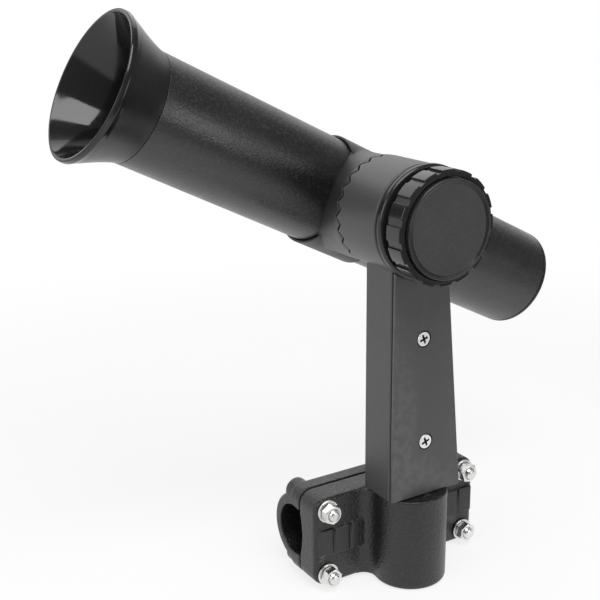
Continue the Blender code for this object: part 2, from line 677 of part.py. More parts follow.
def build_release():
    """Spring that parts the teeth when the knob is slackened, and the washer that it pushes on."""
    ring("release_washer", SEAT_RADIUS, PIVOT_HOLE, -SEAT_BACK, -SEAT_FRONT, HINGE_FRAME)
    wire = SPRING_WIRE / 2
    start = -SEAT_FRONT + wire + FIT_GAP
    end = -SPRING_FLOOR - wire - FIT_GAP
    per_turn = SMALL
    points = SPRING_TURNS * per_turn + 1
    curve = bpy.data.curves.new("spring_path", "CURVE")
    curve.dimensions = "3D"
    curve.bevel_depth = wire
    curve.bevel_resolution = 1
    curve.use_fill_caps = True
    path = curve.splines.new("POLY")
    path.points.add(points - 1)
    for index, point in enumerate(path.points):
        angle = math.tau * index / per_turn
        height = start + (end - start) * index / (points - 1)
        point.co = (SPRING_RADIUS * math.cos(angle), SPRING_RADIUS * math.sin(angle), height, 1.0)
    spring = bpy.data.objects.new("release_spring", curve)
    spring.parent = HINGE_FRAME
    curve.materials.append(FINISHES["steel"])
    PARTS.objects.link(spring)


def build_saddle():
    """Collar round the tube with the toothed boss that meets the post's head."""
    loops = [
        (PIVOT_HOLE, -TUBE_OFFSET, 0),
        (PIVOT_HOLE, -SEAT_FLOOR, 0),
        (SPRING_POCKET_RADIUS, -SEAT_FLOOR, 0),
        (SPRING_POCKET_RADIUS, -TOOTH_PLANE - TOOTH_GAP / 2, 1),
        (HEAD_RADIUS, -TOOTH_PLANE - TOOTH_GAP / 2, 1),
        (HEAD_RADIUS, -TUBE_OFFSET, 0),
    ]
    saddle = toothed_ring("tube_saddle", loops, HINGE_FRAME, "satin")
    collar = rod("collar", TUBE_RADIUS + COLLAR_WALL, -COLLAR_AFT, COLLAR_FORE, TUBE_FRAME, sides=FINE)
    tunnel = rod(
        "tube_tunnel", TUBE_RADIUS + FIT_GAP, -TUBE_AFT, TUBE_FORE, TUBE_FRAME, sides=FINE
    )
    pocket = rod(
        "head_pocket",
        PIVOT_HEAD_FLATS / math.sqrt(3) + FIT_GAP,
        -TUBE_OFFSET,
        -PIVOT_HEAD_FRONT + FIT_GAP,
        HINGE_FRAME,
        sides=6,
    )
    join(saddle, collar)
    cut(saddle, tunnel, pocket)
    bolt = rod(
        "pivot_bolt", PIVOT_HEAD_FLATS / math.sqrt(3), -PIVOT_HEAD_BACK, -PIVOT_HEAD_FRONT, HINGE_FRAME, sides=6
    )
    shank = rod("pivot_shank", PIVOT_RADIUS, -PIVOT_HEAD_FRONT - OVERCUT, -NUT_FRONT, HINGE_FRAME)
    join(bolt, shank)


def build_tube():
    """Rod tube with the flared cup in its mouth and the plug in its tail."""
    ring("rod_tube", TUBE_RADIUS, TUBE_BORE_RADIUS, -TUBE_AFT, TUBE_FORE - FIT_GAP, TUBE_FRAME, "texture", FINE)
    lip = TUBE_FORE + CUP_LENGTH
    stem = TUBE_BORE_RADIUS - FIT_GAP
    flare_steps = 6
    flare = []
    for step in range(flare_steps, -1, -1):
        share = step / flare_steps
        radius = TUBE_RADIUS + (CUP_LIP_RADIUS - TUBE_RADIUS) * share**CUP_FLARE_POWER
        flare.append((radius, TUBE_FORE + (CUP_LENGTH - CUP_LIP) * share))
    profile = [(CUP_LIP_RADIUS - CUP_LIP / 2, lip)] + flare
    profile += [
        (stem, TUBE_FORE),
        (stem, TUBE_FORE - CUP_STEM),
        (CUP_THROAT_RADIUS, TUBE_FORE - CUP_STEM),
        (CUP_THROAT_RADIUS, TUBE_FORE - CUP_STEM / 2),
        (TUBE_RADIUS - CUP_LIP, TUBE_FORE + CUP_LENGTH / 3),
        (CUP_LIP_RADIUS - CUP_LIP, lip - CUP_LIP / 2),
    ]
    turned("mouth_cup", profile, TUBE_FRAME, "gloss")
    tail = -TUBE_AFT - FIT_GAP
    plug = [
        (stem, tail + PLUG_STEM),
        (stem, tail),
        (TUBE_RADIUS, tail),
        (TUBE_RADIUS - PLUG_LIP / 2, tail - PLUG_LIP),
        (PLUG_DRAIN_RADIUS, tail - PLUG_LIP),
        (PLUG_DRAIN_RADIUS, tail + PLUG_LIP),
        (stem - TUBE_WALL, tail + PLUG_LIP),
        (stem - TUBE_WALL, tail + PLUG_STEM),
    ]
    turned("tail_plug", plug, TUBE_FRAME, "satin")


build_front_half()
build_back_half()
build_clamp_fasteners()
build_swivel()
build_post_shell()
build_post_cover()
build_knob()
build_release()
build_saddle()
build_tube()
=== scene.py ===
"""Looks of a rail-mount fishing rod holder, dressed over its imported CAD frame.

Everything is in metres in the CAD frame: the origin is the middle of the rail bore, +X runs along
the rail, +Y points from the knob towards the rod tube, and +Z is up.
"""
import logging
import math
from collections.abc import Callable, Iterator, Sequence
from dataclasses import dataclass, field
from enum import Enum

import bmesh
import bpy
from mathutils import Matrix, Vector


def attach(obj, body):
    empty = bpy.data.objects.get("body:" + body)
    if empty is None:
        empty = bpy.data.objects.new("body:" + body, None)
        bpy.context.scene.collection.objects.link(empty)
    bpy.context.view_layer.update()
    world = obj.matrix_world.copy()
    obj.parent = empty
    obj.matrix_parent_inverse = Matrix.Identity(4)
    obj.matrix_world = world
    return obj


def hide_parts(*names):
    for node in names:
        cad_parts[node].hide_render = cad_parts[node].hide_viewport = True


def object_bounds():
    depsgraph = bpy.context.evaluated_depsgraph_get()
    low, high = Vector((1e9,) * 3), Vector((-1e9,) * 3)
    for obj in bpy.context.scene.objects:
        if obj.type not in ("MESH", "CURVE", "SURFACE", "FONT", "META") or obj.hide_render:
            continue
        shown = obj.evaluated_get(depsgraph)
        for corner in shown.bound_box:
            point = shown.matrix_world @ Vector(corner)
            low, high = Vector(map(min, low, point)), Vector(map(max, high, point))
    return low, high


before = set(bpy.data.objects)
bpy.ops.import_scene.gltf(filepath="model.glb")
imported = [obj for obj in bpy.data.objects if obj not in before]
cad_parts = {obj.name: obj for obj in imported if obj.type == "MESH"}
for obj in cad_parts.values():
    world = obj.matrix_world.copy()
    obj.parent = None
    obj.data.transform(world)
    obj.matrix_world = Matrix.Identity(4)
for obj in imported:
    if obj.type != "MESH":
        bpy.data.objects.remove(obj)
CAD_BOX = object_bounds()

MM = 0.001
LOG = logging.getLogger("rod_holder")
Solid = bmesh.types.BMesh
Mesh = bpy.types.Mesh
Socket = bpy.types.NodeSocket
Point = tuple[float, float]
Corner = tuple[float, float, float]
Row = list[Corner]


class Body(Enum):
    """The moving bodies that carry modelled pieces."""

    CLAMP = "clamp"
    JAW = "jaw"
    POST = "post"
    KNOB = "knob"
    TUBE = "tube"


class Slot(Enum):
    """The material slots that modelled pieces take."""

    NYLON = "nylon"
    SATIN = "satin_plastic"
    GLOSS = "gloss_plastic"
    TEXTURE = "textured_plastic"
    STEEL = "bright_steel"


@dataclass(frozen=True)
class Layout:
    """Where the sub-assemblies meet."""

    gap: float = 0.3 * MM
    hinge_x: float = -5.0 * MM
    hinge_z: float = 147.7 * MM
    head_radius: float = 24.1 * MM
    head_front: float = 38.6 * MM
    tooth_plane: float = 12.4 * MM
    tooth_gap: float = 0.35 * MM
    tooth_height: float = 2.5 * MM
    tooth_bevel: float = 0.25 * MM
    tooth_count: int = 24
    facets: int = 240
    pivot_hole: float = 4.3 * MM
    pocket_radius: float = 13.6 * MM
    tube_offset: float = 33.6 * MM
    tube_tilt: float = math.radians(26.6)
    tube_radius: float = 25.0 * MM
    boss_stand: float = 28.0 * MM
    clamp_top: float = 21.5 * MM
    bolt_x: float = 39.0 * MM
    bolt_z: float = 15.8 * MM

    def towards_knob(self, x: float, z: float) -> Matrix:
        """Frame at a place on the front, with its Z towards the knob."""
        return Matrix.Translation((x, 0.0, z)) @ Matrix.Rotation(math.pi / 2, 4, "X")

    def hinge(self) -> Matrix:
        """Frame of the hinge, with its Z towards the knob."""
        return self.towards_knob(self.hinge_x, self.hinge_z)

    def tube(self) -> Matrix:
        """Frame of the rod tube, with its Z towards the mouth."""
        place = Matrix.Translation((self.hinge_x, self.tube_offset, self.hinge_z))
        return place @ Matrix.Rotation(self.tube_tilt - math.pi / 2, 4, "Y")

    def swivel(self) -> Matrix:
        """Frame of the socket boss, with its Z up."""
        return Matrix.Translation((0.0, -self.boss_stand, 0.0))

    def angles(self) -> list[float]:
        """Angles of the facets round the toothed joint."""
        return [math.tau * step / self.facets for step in range(self.facets)]

    def ring(self, reach: float | Sequence[float], heights: float | Sequence[float]) -> Row:
        """Return a ring round the hinge, in the hinge's own frame.

        Args:
            reach: One radius, or one for each facet.
            heights: One height, or one for each facet.

        Returns:
            The places of the ring.
        """
        sets = [[value] * self.facets if isinstance(value, float) else value for value in (reach, heights)]
        return [(r * math.cos(a), r * math.sin(a), h) for a, r, h in zip(self.angles(), *sets)]

    def tooth_wave(self, angle: float) -> float:
        """Height of the tooth line at an angle round the hinge, with its tips a little rounded."""
        sharpness = 0.985
        wave = math.asin(sharpness * -math.cos(self.tooth_count * angle)) / math.asin(sharpness)
        return wave * self.tooth_height / 2


LAYOUT = Layout()


@dataclass(frozen=True)
class Spot:
    """A fastener's place on the front, with the ending of its name."""

    ending: str
    x: float
    z: float

    def frame(self) -> Matrix:
        """Frame at the place, with its Z towards the knob."""
        return LAYOUT.towards_knob(self.x, self.z)


def smooth_step(low: float, high: float, value: float) -> float:
    """Return 0 below low, 1 above high and a smooth ramp between."""
    share = min(max((value - low) / (high - low), 0.0), 1.0)
    return share * share * (3.0 - 2.0 * share)


def rounded(corners: Sequence[Corner], closed: bool = True) -> list[Point]:
    """Round the corners of an outline.

    Args:
        corners: Radius, height and fillet of each corner.
        closed: Whether the outline joins up with its start.

    Returns:
        The points of the outline with an arc at each corner that has a fillet.
    """
    largest_turn = math.radians(15)
    largest_share = 0.49
    points: list[Point] = []
    count = len(corners)
    for index, (radius, height, fillet) in enumerate(corners):
        here = Vector((radius, height))
        is_end = not closed and index in (0, count - 1)
        if fillet <= 0.0 or is_end:
            points.append((here.x, here.y))
            continue
        before = Vector(corners[index - 1][:2]) - here
        after = Vector(corners[(index + 1) % count][:2]) - here
        spread = before.angle(after)
        shorter = min(before.length, after.length)
        reach = min(fillet / math.tan(spread / 2), shorter * largest_share)
        arc_radius = reach * math.tan(spread / 2)
        middle = (before.normalized() + after.normalized()).normalized()
        centre = here + middle * (arc_radius / math.sin(spread / 2))
        start = here + before.normalized() * reach - centre
        end = here + after.normalized() * reach - centre
        turn = math.atan2(start.cross(end), start.dot(end))
        pieces = max(2, math.ceil(abs(turn) / largest_turn))
        for piece in range(pieces + 1):
            spun = start.copy()
            spun.rotate(Matrix.Rotation(turn * piece / pieces, 2))
            points.append((centre.x + spun.x, centre.y + spun.y))
    return points


def turned(outline: Sequence[Point], sides: int, closed: bool = True) -> Solid:
    """Turn an outline of (radius, height) about Z.

    Args:
        outline: The points of the outline.
        sides: Facets round a full turn.
        closed: Whether the outline is a loop. An open one starts and ends on the axis.

    Returns:
        A closed mesh.
    """
    work = bmesh.new()
    poles: dict[int, bmesh.types.BMVert] = {}
    columns = []
    for step in range(sides):
        angle = math.tau * step / sides
        column = []
        for index, (radius, height) in enumerate(outline):
            if radius < 1e-7:
                if index not in poles:
                    poles[index] = work.verts.new((0.0, 0.0, height))
                column.append(poles[index])
            else:
                column.append(work.verts.new((radius * math.cos(angle), radius * math.sin(angle), height)))
        columns.append(column)
    count = len(outline)
    for step in range(sides):
        near, far = columns[step], columns[(step + 1) % sides]
        for index in range(count if closed else count - 1):
            after = (index + 1) % count
            corners = dict.fromkeys((near[index], far[index], far[after], near[after]))
            if len(corners) >= 3:
                work.faces.new(list(corners))
    bmesh.ops.recalc_face_normals(work, faces=work.faces)
    return work


def lofted(rows: Sequence[Row], closed: bool = False) -> Solid:
    """Join rings of equal length into a skin.

    Args:
        rows: The rings, each a list of places.
        closed: Whether the last ring joins the first. An open skin is capped at both ends.

    Returns:
        A closed mesh.
    """
    work = bmesh.new()
    rings = [[work.verts.new(place) for place in row] for row in rows]
    count = len(rings[0])
    pairs = list(zip(rings, rings[1:]))
    if closed:
        pairs.append((rings[-1], rings[0]))
    else:
        work.faces.new(list(reversed(rings[0])))
        work.faces.new(rings[-1])
    for first, second in pairs:
        for step in range(count):
            after = (step + 1) % count
            work.faces.new((first[step], first[after], second[after], second[step]))
    bmesh.ops.recalc_face_normals(work, faces=work.faces)
    return work


def prism(outline: Sequence[Point], low: float, high: float) -> Solid:
    """Return an outline in X and Z drawn out along Y."""
    return lofted([[(x, y, z) for x, z in outline] for y in (low, high)])


def box(low: Corner, high: Corner) -> Solid:
    """Return a box between two corners."""
    (left, front, foot), (right, back, top) = low, high
    return prism([(left, foot), (right, foot), (right, top), (left, top)], front, back)


def bevelled(work: Solid, width: float, segments: int) -> Solid:
    """Round every edge that turns clearly.

    Args:
        work: The mesh, which is changed.
        width: Width of the rounding.
        segments: Facets across the rounding.

    Returns:
        The same mesh.
    """
    least = math.radians(25)
    edges = [edge for edge in work.edges if edge.is_manifold and edge.calc_face_angle() > least]
    bmesh.ops.bevel(
        work, geom=edges, offset=width, segments=segments, profile=0.5, affect="EDGES", clamp_overlap=True
    )
    return work


def placed(work: Solid, place: Matrix) -> Solid:
    """Move a mesh from its own frame to the CAD frame."""
    bmesh.ops.transform(work, matrix=place, verts=work.verts)
    return work


def lathe(corners: Sequence[Corner], sides: int, place: Matrix, closed: bool = True) -> Solid:
    """Return a turned solid from an outline whose corners are rounded."""
    return placed(turned(rounded(corners, closed), sides, closed), place)


def bar(radius: float, low: float, high: float, place: Matrix, sides: int = 48) -> Solid:
    """Return a plain bar along its frame's Z."""
    outline = [(0.0, low), (radius, low), (radius, high), (0.0, high)]
    return placed(turned(outline, sides, closed=False), place)


def joined(*works: Solid) -> Solid:
    """Gather meshes into a new one, so that faces come in the same order at each run.

    Args:
        works: The meshes, which are freed.

    Returns:
        The new mesh.
    """
    whole = bmesh.new()
    for work in works:
        spare = bpy.data.meshes.new("spare")
        work.to_mesh(spare)
        work.free()
        whole.from_mesh(spare)
        bpy.data.meshes.remove(spare)
    return whole


def smoothed(mesh: Mesh, sharp: float) -> Mesh:
    """Shade a mesh smooth.

    Args:
        mesh: The mesh, which is changed.
        sharp: Turn in degrees above which an edge stays sharp.

    Returns:
        The same mesh.
    """
    mesh.shade_smooth()
    mesh.set_sharp_from_angle(angle=math.radians(sharp))
    return mesh


def mesh_of(work: Solid, sharp: float = 32.0) -> Mesh:
    """Write a bmesh to a smooth-shaded mesh.

    Args:
        work: The bmesh, which is freed.
        sharp: Turn in degrees above which an edge stays sharp.

    Returns:
        The new mesh.
    """
    mesh = bpy.data.meshes.new("piece")
    work.to_mesh(mesh)
    work.free()
    return smoothed(mesh, sharp)


def marked(mesh: Mesh, test: Callable[[bpy.types.MeshPolygon], bool]) -> Mesh:
    """Give the second finish to some of a mesh's faces.

    Args:
        mesh: The mesh, which is changed.
        test: Tells whether a face takes the second finish.

    Returns:
        The same mesh.
    """
    for face in mesh.polygons:
        face.material_index = int(test(face))
    return mesh


def linked(name: str, data: bpy.types.ID) -> bpy.types.Object:
    """Add an object to the scene.

    Args:
        name: Its name.
        data: Its mesh, lamp or camera.

    Returns:
        The object.
    """
    item = bpy.data.objects.new(name, data)
    bpy.context.scene.collection.objects.link(item)
    return item


def taken(bench: bpy.types.Object, *tools: bpy.types.Object, **options: bool) -> Mesh:
    """Apply an object's modifiers and remove the object.

    Args:
        bench: The object.
        tools: Other objects to remove with it.
        options: Options for the new mesh.

    Returns:
        The finished mesh.
    """
    graph = bpy.context.evaluated_depsgraph_get()
    mesh = bpy.data.meshes.new_from_object(bench.evaluated_get(graph), depsgraph=graph, **options)
    for item in (bench, *tools):
        spare = item.data
        bpy.data.objects.remove(item, do_unlink=True)
        bpy.data.meshes.remove(spare)
    return mesh


class Carve(Enum):
    """Ways to combine two solids."""

    ADD = "UNION"
    CUT = "DIFFERENCE"
    KEEP = "INTERSECT"


@dataclass
class Workpiece:
    """A solid on the bench, shaped by modifiers and then taken off as a mesh."""

    start: Solid
    tools: list[bpy.types.Object] = field(default_factory=list)

    def __post_init__(self) -> None:
        """Put the starting solid on the bench."""
        self.bench = linked("bench", mesh_of(self.start))

    def step(self, kind: str, **settings: object) -> "Workpiece":
        """Add a modifier.

        Args:
            kind: Blender's name of the modifier type.
            settings: Attributes of the modifier.

        Returns:
            The same workpiece.
        """
        modifier = self.bench.modifiers.new(kind.lower(), kind)
        for key, value in settings.items():
            setattr(modifier, key, value)
        return self

    def carve(self, way: Carve, *works: Solid) -> "Workpiece":
        """Combine other solids with this one, in order.

        Args:
            way: How each is combined.
            works: The other solids.

        Returns:
            The same workpiece.
        """
        for work in works:
            tool = linked("tool", mesh_of(work))
            self.tools.append(tool)
            self.step("BOOLEAN", operation=way.value, solver="EXACT", object=tool)
        return self

    def soften(self, voxel: float) -> "Workpiece":
        """Melt the solid's edges as a moulding's are, by rebuilding it from voxels of a size."""
        self.step("REMESH", mode="VOXEL", voxel_size=voxel, use_smooth_shade=True)
        return self.step("SMOOTH", factor=0.5, iterations=3).step("DECIMATE", ratio=0.4)

    def bevel(self, width: float) -> "Workpiece":
        """Round the edges that turn clearly."""
        limit = {"limit_method": "ANGLE", "angle_limit": math.radians(30)}
        return self.step("BEVEL", width=width, segments=2, miter_outer="MITER_ARC", **limit)

    def take(self, sharp: float) -> Mesh:
        """Return the finished mesh, with edges above a turn in degrees kept sharp."""
        return smoothed(taken(self.bench, *self.tools), sharp)


class Graph:
    """A shader node tree with short ways to add and link nodes."""

    def __init__(self, tree: bpy.types.NodeTree) -> None:
        """Keep the tree."""
        self.tree = tree

    def add(self, kind: str, sockets: dict | None = None, **settings: object) -> bpy.types.Node:
        """Add a node.

        Args:
            kind: Blender's name of the node type.
            sockets: Input values by socket name or index. An output socket is linked instead.
            settings: Attributes of the node.

        Returns:
            The new node.
        """
        node = self.tree.nodes.new(kind)
        for key, value in settings.items():
            setattr(node, key, value)
        for key, value in (sockets or {}).items():
            self.feed(node.inputs[key], value)
        return node

    def feed(self, socket: Socket, value: object) -> None:
        """Link an output to a socket, or set the socket's own value.

        Args:
            socket: The input socket.
            value: An output socket, or a plain value.
        """
        if isinstance(value, Socket):
            self.tree.links.new(value, socket)
        else:
            socket.default_value = value

    def maths(self, operation: str, first: object, second: object) -> Socket:
        """Return the result of a Math node."""
        return self.add("ShaderNodeMath", {0: first, 1: second}, operation=operation).outputs[0]

    def ramp(
        self, value: object, low: float, high: float, to_low: float = 0.0, to_high: float = 1.0
    ) -> Socket:
        """Return a value mapped smoothly from one clamped range to another."""
        sockets = {"Value": value, "From Min": low, "From Max": high, "To Min": to_low, "To Max": to_high}
        return self.add("ShaderNodeMapRange", sockets, interpolation_type="SMOOTHSTEP").outputs["Result"]

    def mix(self, share: object, first: object, second: object, colours: bool = False) -> Socket:
        """Mix two values or two colours.

        Args:
            share: Share of the second, from 0 to 1.
            first: The first value or colour.
            second: The second value or colour.
            colours: Whether colours are mixed.

        Returns:
            The mixture.
        """
        kind, one, two, result = ("RGBA", 6, 7, 2) if colours else ("FLOAT", 2, 3, 0)
        return self.add("ShaderNodeMix", {0: share, one: first, two: second}, data_type=kind).outputs[result]

    def effect(self, group: bpy.types.NodeTree, where: Socket, scale: float) -> bpy.types.NodeOutputs:
        """Return the outputs of a shared node group at a scale."""
        return self.add("ShaderNodeGroup", {"Vector": where, "Scale": scale}, node_tree=group).outputs

    def bump(self, height: Socket, rise: float) -> Socket:
        """Return the normal of a surface with a height laid over it."""
        sockets = {"Height": height, "Strength": 1.0, "Distance": rise}
        return self.add("ShaderNodeBump", sockets).outputs["Normal"]

    def noise(self, where: Socket, scale: object, detail: float, roughness: float = 0.5) -> Socket:
        """Return a noise value from 0 to 1."""
        sockets = {"Vector": where, "Scale": scale, "Detail": detail, "Roughness": roughness}
        return self.add("ShaderNodeTexNoise", sockets).outputs["Fac"]


class EffectGroups:
    """The shared shader node groups, each built once from a vector and a scale."""

    def __init__(self) -> None:
        """Build every group."""
        self.grain = self._grain()
        self.film = self._film()
        self.wear = self._wear()
        self.pebble_glint = self._pebble_glint()

    @staticmethod
    def _open(name: str, *outputs: str) -> tuple[Graph, Socket, Socket, bpy.types.NodeInputs]:
        """Start a group.

        Args:
            name: Name of the group.
            outputs: Name of each value that it gives.

        Returns:
            The graph, the vector, the scale and the sockets for the results.
        """
        tree = bpy.data.node_groups.new(name, "ShaderNodeTree")
        tree.interface.new_socket("Vector", in_out="INPUT", socket_type="NodeSocketVector")
        tree.interface.new_socket("Scale", in_out="INPUT", socket_type="NodeSocketFloat")
        for label in outputs:
            tree.interface.new_socket(label, in_out="OUTPUT", socket_type="NodeSocketFloat")
        graph = Graph(tree)
        given = graph.add("NodeGroupInput").outputs
        return graph, given["Vector"], given["Scale"], graph.add("NodeGroupOutput").inputs

    def _grain(self) -> bpy.types.NodeTree:
        """Build a moulded leather-like grain.

        Returns:
            The group, which gives a height and a tone.
        """
        graph, where, scale, results = self._open("moulded_grain", "Height", "Tone")
        sockets = {"Vector": where, "Scale": scale, "Smoothness": 0.6}
        cells = graph.add("ShaderNodeTexVoronoi", sockets, feature="SMOOTH_F1").outputs["Distance"]
        soft = graph.noise(where, scale, 3.0, 0.6)
        height = graph.maths("ADD", graph.maths("MULTIPLY", cells, 0.7), graph.maths("MULTIPLY", soft, 0.6))
        graph.feed(results["Height"], height)
        graph.feed(results["Tone"], graph.ramp(height, 0.35, 0.95))
        return graph.tree

    def _film(self) -> bpy.types.NodeTree:
        """Build an uneven handling film with pale flecks on upward faces, partly settled dust and partly
        painted glints.

        Returns:
            The group, which gives a broad tone and a mask of dust and painted glints.
        """
        graph, where, scale, results = self._open("handling_film", "Tone", "DustGlint")
        broad = graph.noise(where, scale, 4.0, 0.55)
        fine = graph.noise(where, graph.maths("MULTIPLY", scale, 22.0), 2.0)
        normal = graph.add("ShaderNodeNewGeometry").outputs["Normal"]
        up = graph.add("ShaderNodeSeparateXYZ", {0: normal}).outputs["Z"]
        # Pale flecks on upward faces: settled dust, and a painted glint on tops where the lamps fall.
        settled_glint = graph.maths("MULTIPLY", graph.ramp(up, 0.2, 1.0, 0.25), graph.ramp(fine, 0.5, 0.75))
        graph.feed(results["Tone"], graph.ramp(broad, 0.3, 0.7))
        graph.feed(results["DustGlint"], settled_glint)
        return graph.tree

    def _wear(self) -> bpy.types.NodeTree:
        """Build rubbed edges, from the surface's own convexity broken up by noise.

        Returns:
            The group, which gives a mask.
        """
        graph, where, scale, results = self._open("edge_wear", "Mask")
        edge = graph.ramp(graph.add("ShaderNodeNewGeometry").outputs["Pointiness"], 0.52, 0.60)
        patchy = graph.ramp(graph.noise(where, scale, 3.0), 0.35, 0.65, 0.25)
        graph.feed(results["Mask"], graph.maths("MULTIPLY", edge, patchy))
        return graph.tree

    def _pebble_glint(self) -> bpy.types.NodeTree:
        """Build a fine pebbled skin.

        Returns:
            The group, which gives a height, and a mask of pale pebble tips, a painted glint.
        """
        graph, where, scale, results = self._open("pebbled_skin", "Height", "TipGlint")
        pebble = graph.noise(where, scale, 2.0, 0.7)
        sockets = {"Vector": where, "Scale": graph.maths("MULTIPLY", scale, 2.3)}
        dots = graph.add("ShaderNodeTexVoronoi", sockets).outputs["Distance"]
        tips = graph.ramp(dots, 0.05, 0.45, 1.0, 0.0)
        graph.feed(results["Height"], graph.maths("ADD", pebble, graph.maths("MULTIPLY", tips, 0.25)))
        # Paler pebble tips, a painted glint.
        graph.feed(results["TipGlint"], graph.maths("MULTIPLY", tips, graph.ramp(pebble, 0.5, 0.68)))
        return graph.tree


EFFECTS = EffectGroups()


class Skin(Enum):
    """Which texture a moulding carries, by the name of its effect group."""

    GRAIN = "grain"
    PEBBLE = "pebble_glint"


@dataclass(frozen=True)
class Finish:
    """What every finish has."""

    name: str
    colour: Corner
    roughness: float

    def material(self) -> bpy.types.Material:
        """Build the material, unless it is there already.

        Returns:
            The material.
        """
        known = bpy.data.materials.get(self.name)
        if known:
            return known
        material = bpy.data.materials.new(self.name)
        material.use_nodes = True
        graph = Graph(material.node_tree)
        where = graph.add("ShaderNodeTexCoord").outputs["Object"]
        self.paint(graph, where, material.node_tree.nodes["Principled BSDF"].inputs)
        return material

    def paint(self, graph: Graph, where: Socket, shader: bpy.types.NodeInputs) -> None:
        """Fill in the shader, which each kind of finish does in its own way."""
        raise NotImplementedError


@dataclass(frozen=True)
class Plastic(Finish):
    """A black moulded plastic."""

    skin: Skin
    skin_scale: float
    skin_height: float
    tone_share: float = 0.25
    film_share: float = 0.10
    wear_share: float = 0.25
    dust_glint_share: float = 0.10
    film_spread: float = 0.045
    specular: float = 0.5
    film_scale: float = 35.0
    wear_scale: float = 260.0
    wear_polish: float = 0.08
    pale: float = 1.9
    filmed: float = 0.72
    rubbed: float = 3.2
    dust_glint: Corner = (0.20, 0.20, 0.20)

    def tint(self, factor: float) -> tuple[float, ...]:
        """Return the colour made darker or paler."""
        return (*(min(1.0, factor * value) for value in self.colour), 1.0)

    def paint(self, graph: Graph, where: Socket, shader: bpy.types.NodeInputs) -> None:
        """Fill in the shader: a toned, filmed, rubbed and dusty colour over a bumpy skin, where the dust
        flecks and pale pebble tips are partly painted glints.

        Args:
            graph: The material's graph.
            where: The object's own coordinates.
            shader: The shader's sockets.
        """
        skin = graph.effect(getattr(EFFECTS, self.skin.value), where, self.skin_scale)
        film = graph.effect(EFFECTS.film, where, self.film_scale)
        wear = graph.effect(EFFECTS.wear, where, self.wear_scale)
        layers = [
            # For the pebbled skin this layer is its pale pebble tips, a painted glint.
            (skin[1], self.tone_share, self.tint(self.pale)),
            (film["Tone"], self.film_share, self.tint(self.filmed)),
            (wear["Mask"], self.wear_share, self.tint(self.rubbed)),
            # Pale flecks on upward faces, partly dust and partly painted glints.
            (film["DustGlint"], self.dust_glint_share, (*self.dust_glint, 1.0)),
        ]
        base = self.tint(1.0)
        for mask, share, over in layers:
            base = graph.mix(graph.maths("MULTIPLY", mask, share), base, over, colours=True)
        graph.feed(shader["Base Color"], base)
        smooth, dull = self.roughness - self.film_spread, self.roughness + self.film_spread
        spread = graph.ramp(film["Tone"], 0.0, 1.0, smooth, dull)
        polish = graph.maths("MULTIPLY", wear["Mask"], self.wear_polish)
        graph.feed(shader["Roughness"], graph.maths("SUBTRACT", spread, polish))
        graph.feed(shader["Normal"], graph.bump(skin["Height"], self.skin_height))
        shader["Specular IOR Level"].default_value = self.specular


@dataclass(frozen=True)
class Metal(Finish):
    """A plated or plain metal."""

    tarnish: Corner
    brushing: float
    tarnish_share: float = 0.55
    film_scale: float = 180.0
    grain_scale: float = 2600.0
    polished: float = 0.05
    dulled: float = 0.10

    def paint(self, graph: Graph, where: Socket, shader: bpy.types.NodeInputs) -> None:
        """Fill in the shader: bright and tarnished metal under a fine grain.

        Args:
            graph: The material's graph.
            where: The object's own coordinates.
            shader: The shader's sockets.
        """
        tone = graph.effect(EFFECTS.film, where, self.film_scale)["Tone"]
        grain = graph.effect(EFFECTS.grain, where, self.grain_scale)
        share = graph.maths("MULTIPLY", tone, self.tarnish_share)
        base = graph.mix(share, (*self.colour, 1.0), (*self.tarnish, 1.0), colours=True)
        graph.feed(shader["Base Color"], base)
        spread = graph.ramp(tone, 0.0, 1.0, self.roughness - self.polished, self.roughness + self.dulled)
        graph.feed(shader["Roughness"], spread)
        graph.feed(shader["Normal"], graph.bump(grain["Height"], self.brushing))
        shader["Metallic"].default_value = 1.0


# Its pale flecks on upward faces are partly dust and partly painted glints and painted light on its top.
CLAMP_NYLON = Plastic(
    "clamp_nylon",
    (0.004, 0.004, 0.005),
    0.38,
    Skin.GRAIN,
    1000.0,
    0.28 * MM,
    tone_share=0.6,
    dust_glint_share=0.20,
    specular=0.6,
)
# Partly painted light: the band's front is paler than the plate to stand in for the light on an angled face;
# its finer grain is the band's own.
CLAMP_BAND_PAINTED_LIGHT = Plastic(
    "clamp_band_painted_light", (0.013, 0.013, 0.014), 0.42, Skin.GRAIN, 1700.0, 0.04 * MM, film_share=0.05
)
POST_SATIN = Plastic(
    "post_satin", (0.046, 0.046, 0.047), 0.42, Skin.GRAIN, 2600.0, 0.02 * MM,
    film_share=0.03, film_spread=0.012,
)
JOINT_SATIN = Plastic(
    "joint_satin", (0.015, 0.015, 0.016), 0.44, Skin.GRAIN, 2600.0, 0.02 * MM,
    film_share=0.05, film_spread=0.02,
)
# Painted highlight: the pale flecks on its top, partly dust, stand in for the lamps' speckled glints on the
# pebbled skin.
TUBE_SKIN = Plastic(
    "tube_skin",
    (0.005, 0.005, 0.006),
    0.32,
    Skin.PEBBLE,
    950.0,
    0.14 * MM,
    # Pale pebble tips, a painted glint.
    tone_share=0.9,
    dust_glint_share=0.24,
    specular=0.8,
)
CUP_GLOSS = Plastic(
    "cup_gloss", (0.008, 0.008, 0.009), 0.12, Skin.GRAIN, 900.0, 0.004 * MM, dust_glint_share=0.03
)
CUP_SATIN = Plastic("cup_satin", (0.005, 0.005, 0.006), 0.31, Skin.GRAIN, 2400.0, 0.016 * MM)
KNOB_GLOSS = Plastic(
    "knob_gloss", (0.012, 0.012, 0.013), 0.20, Skin.GRAIN, 1200.0, 0.006 * MM, dust_glint_share=0.05
)
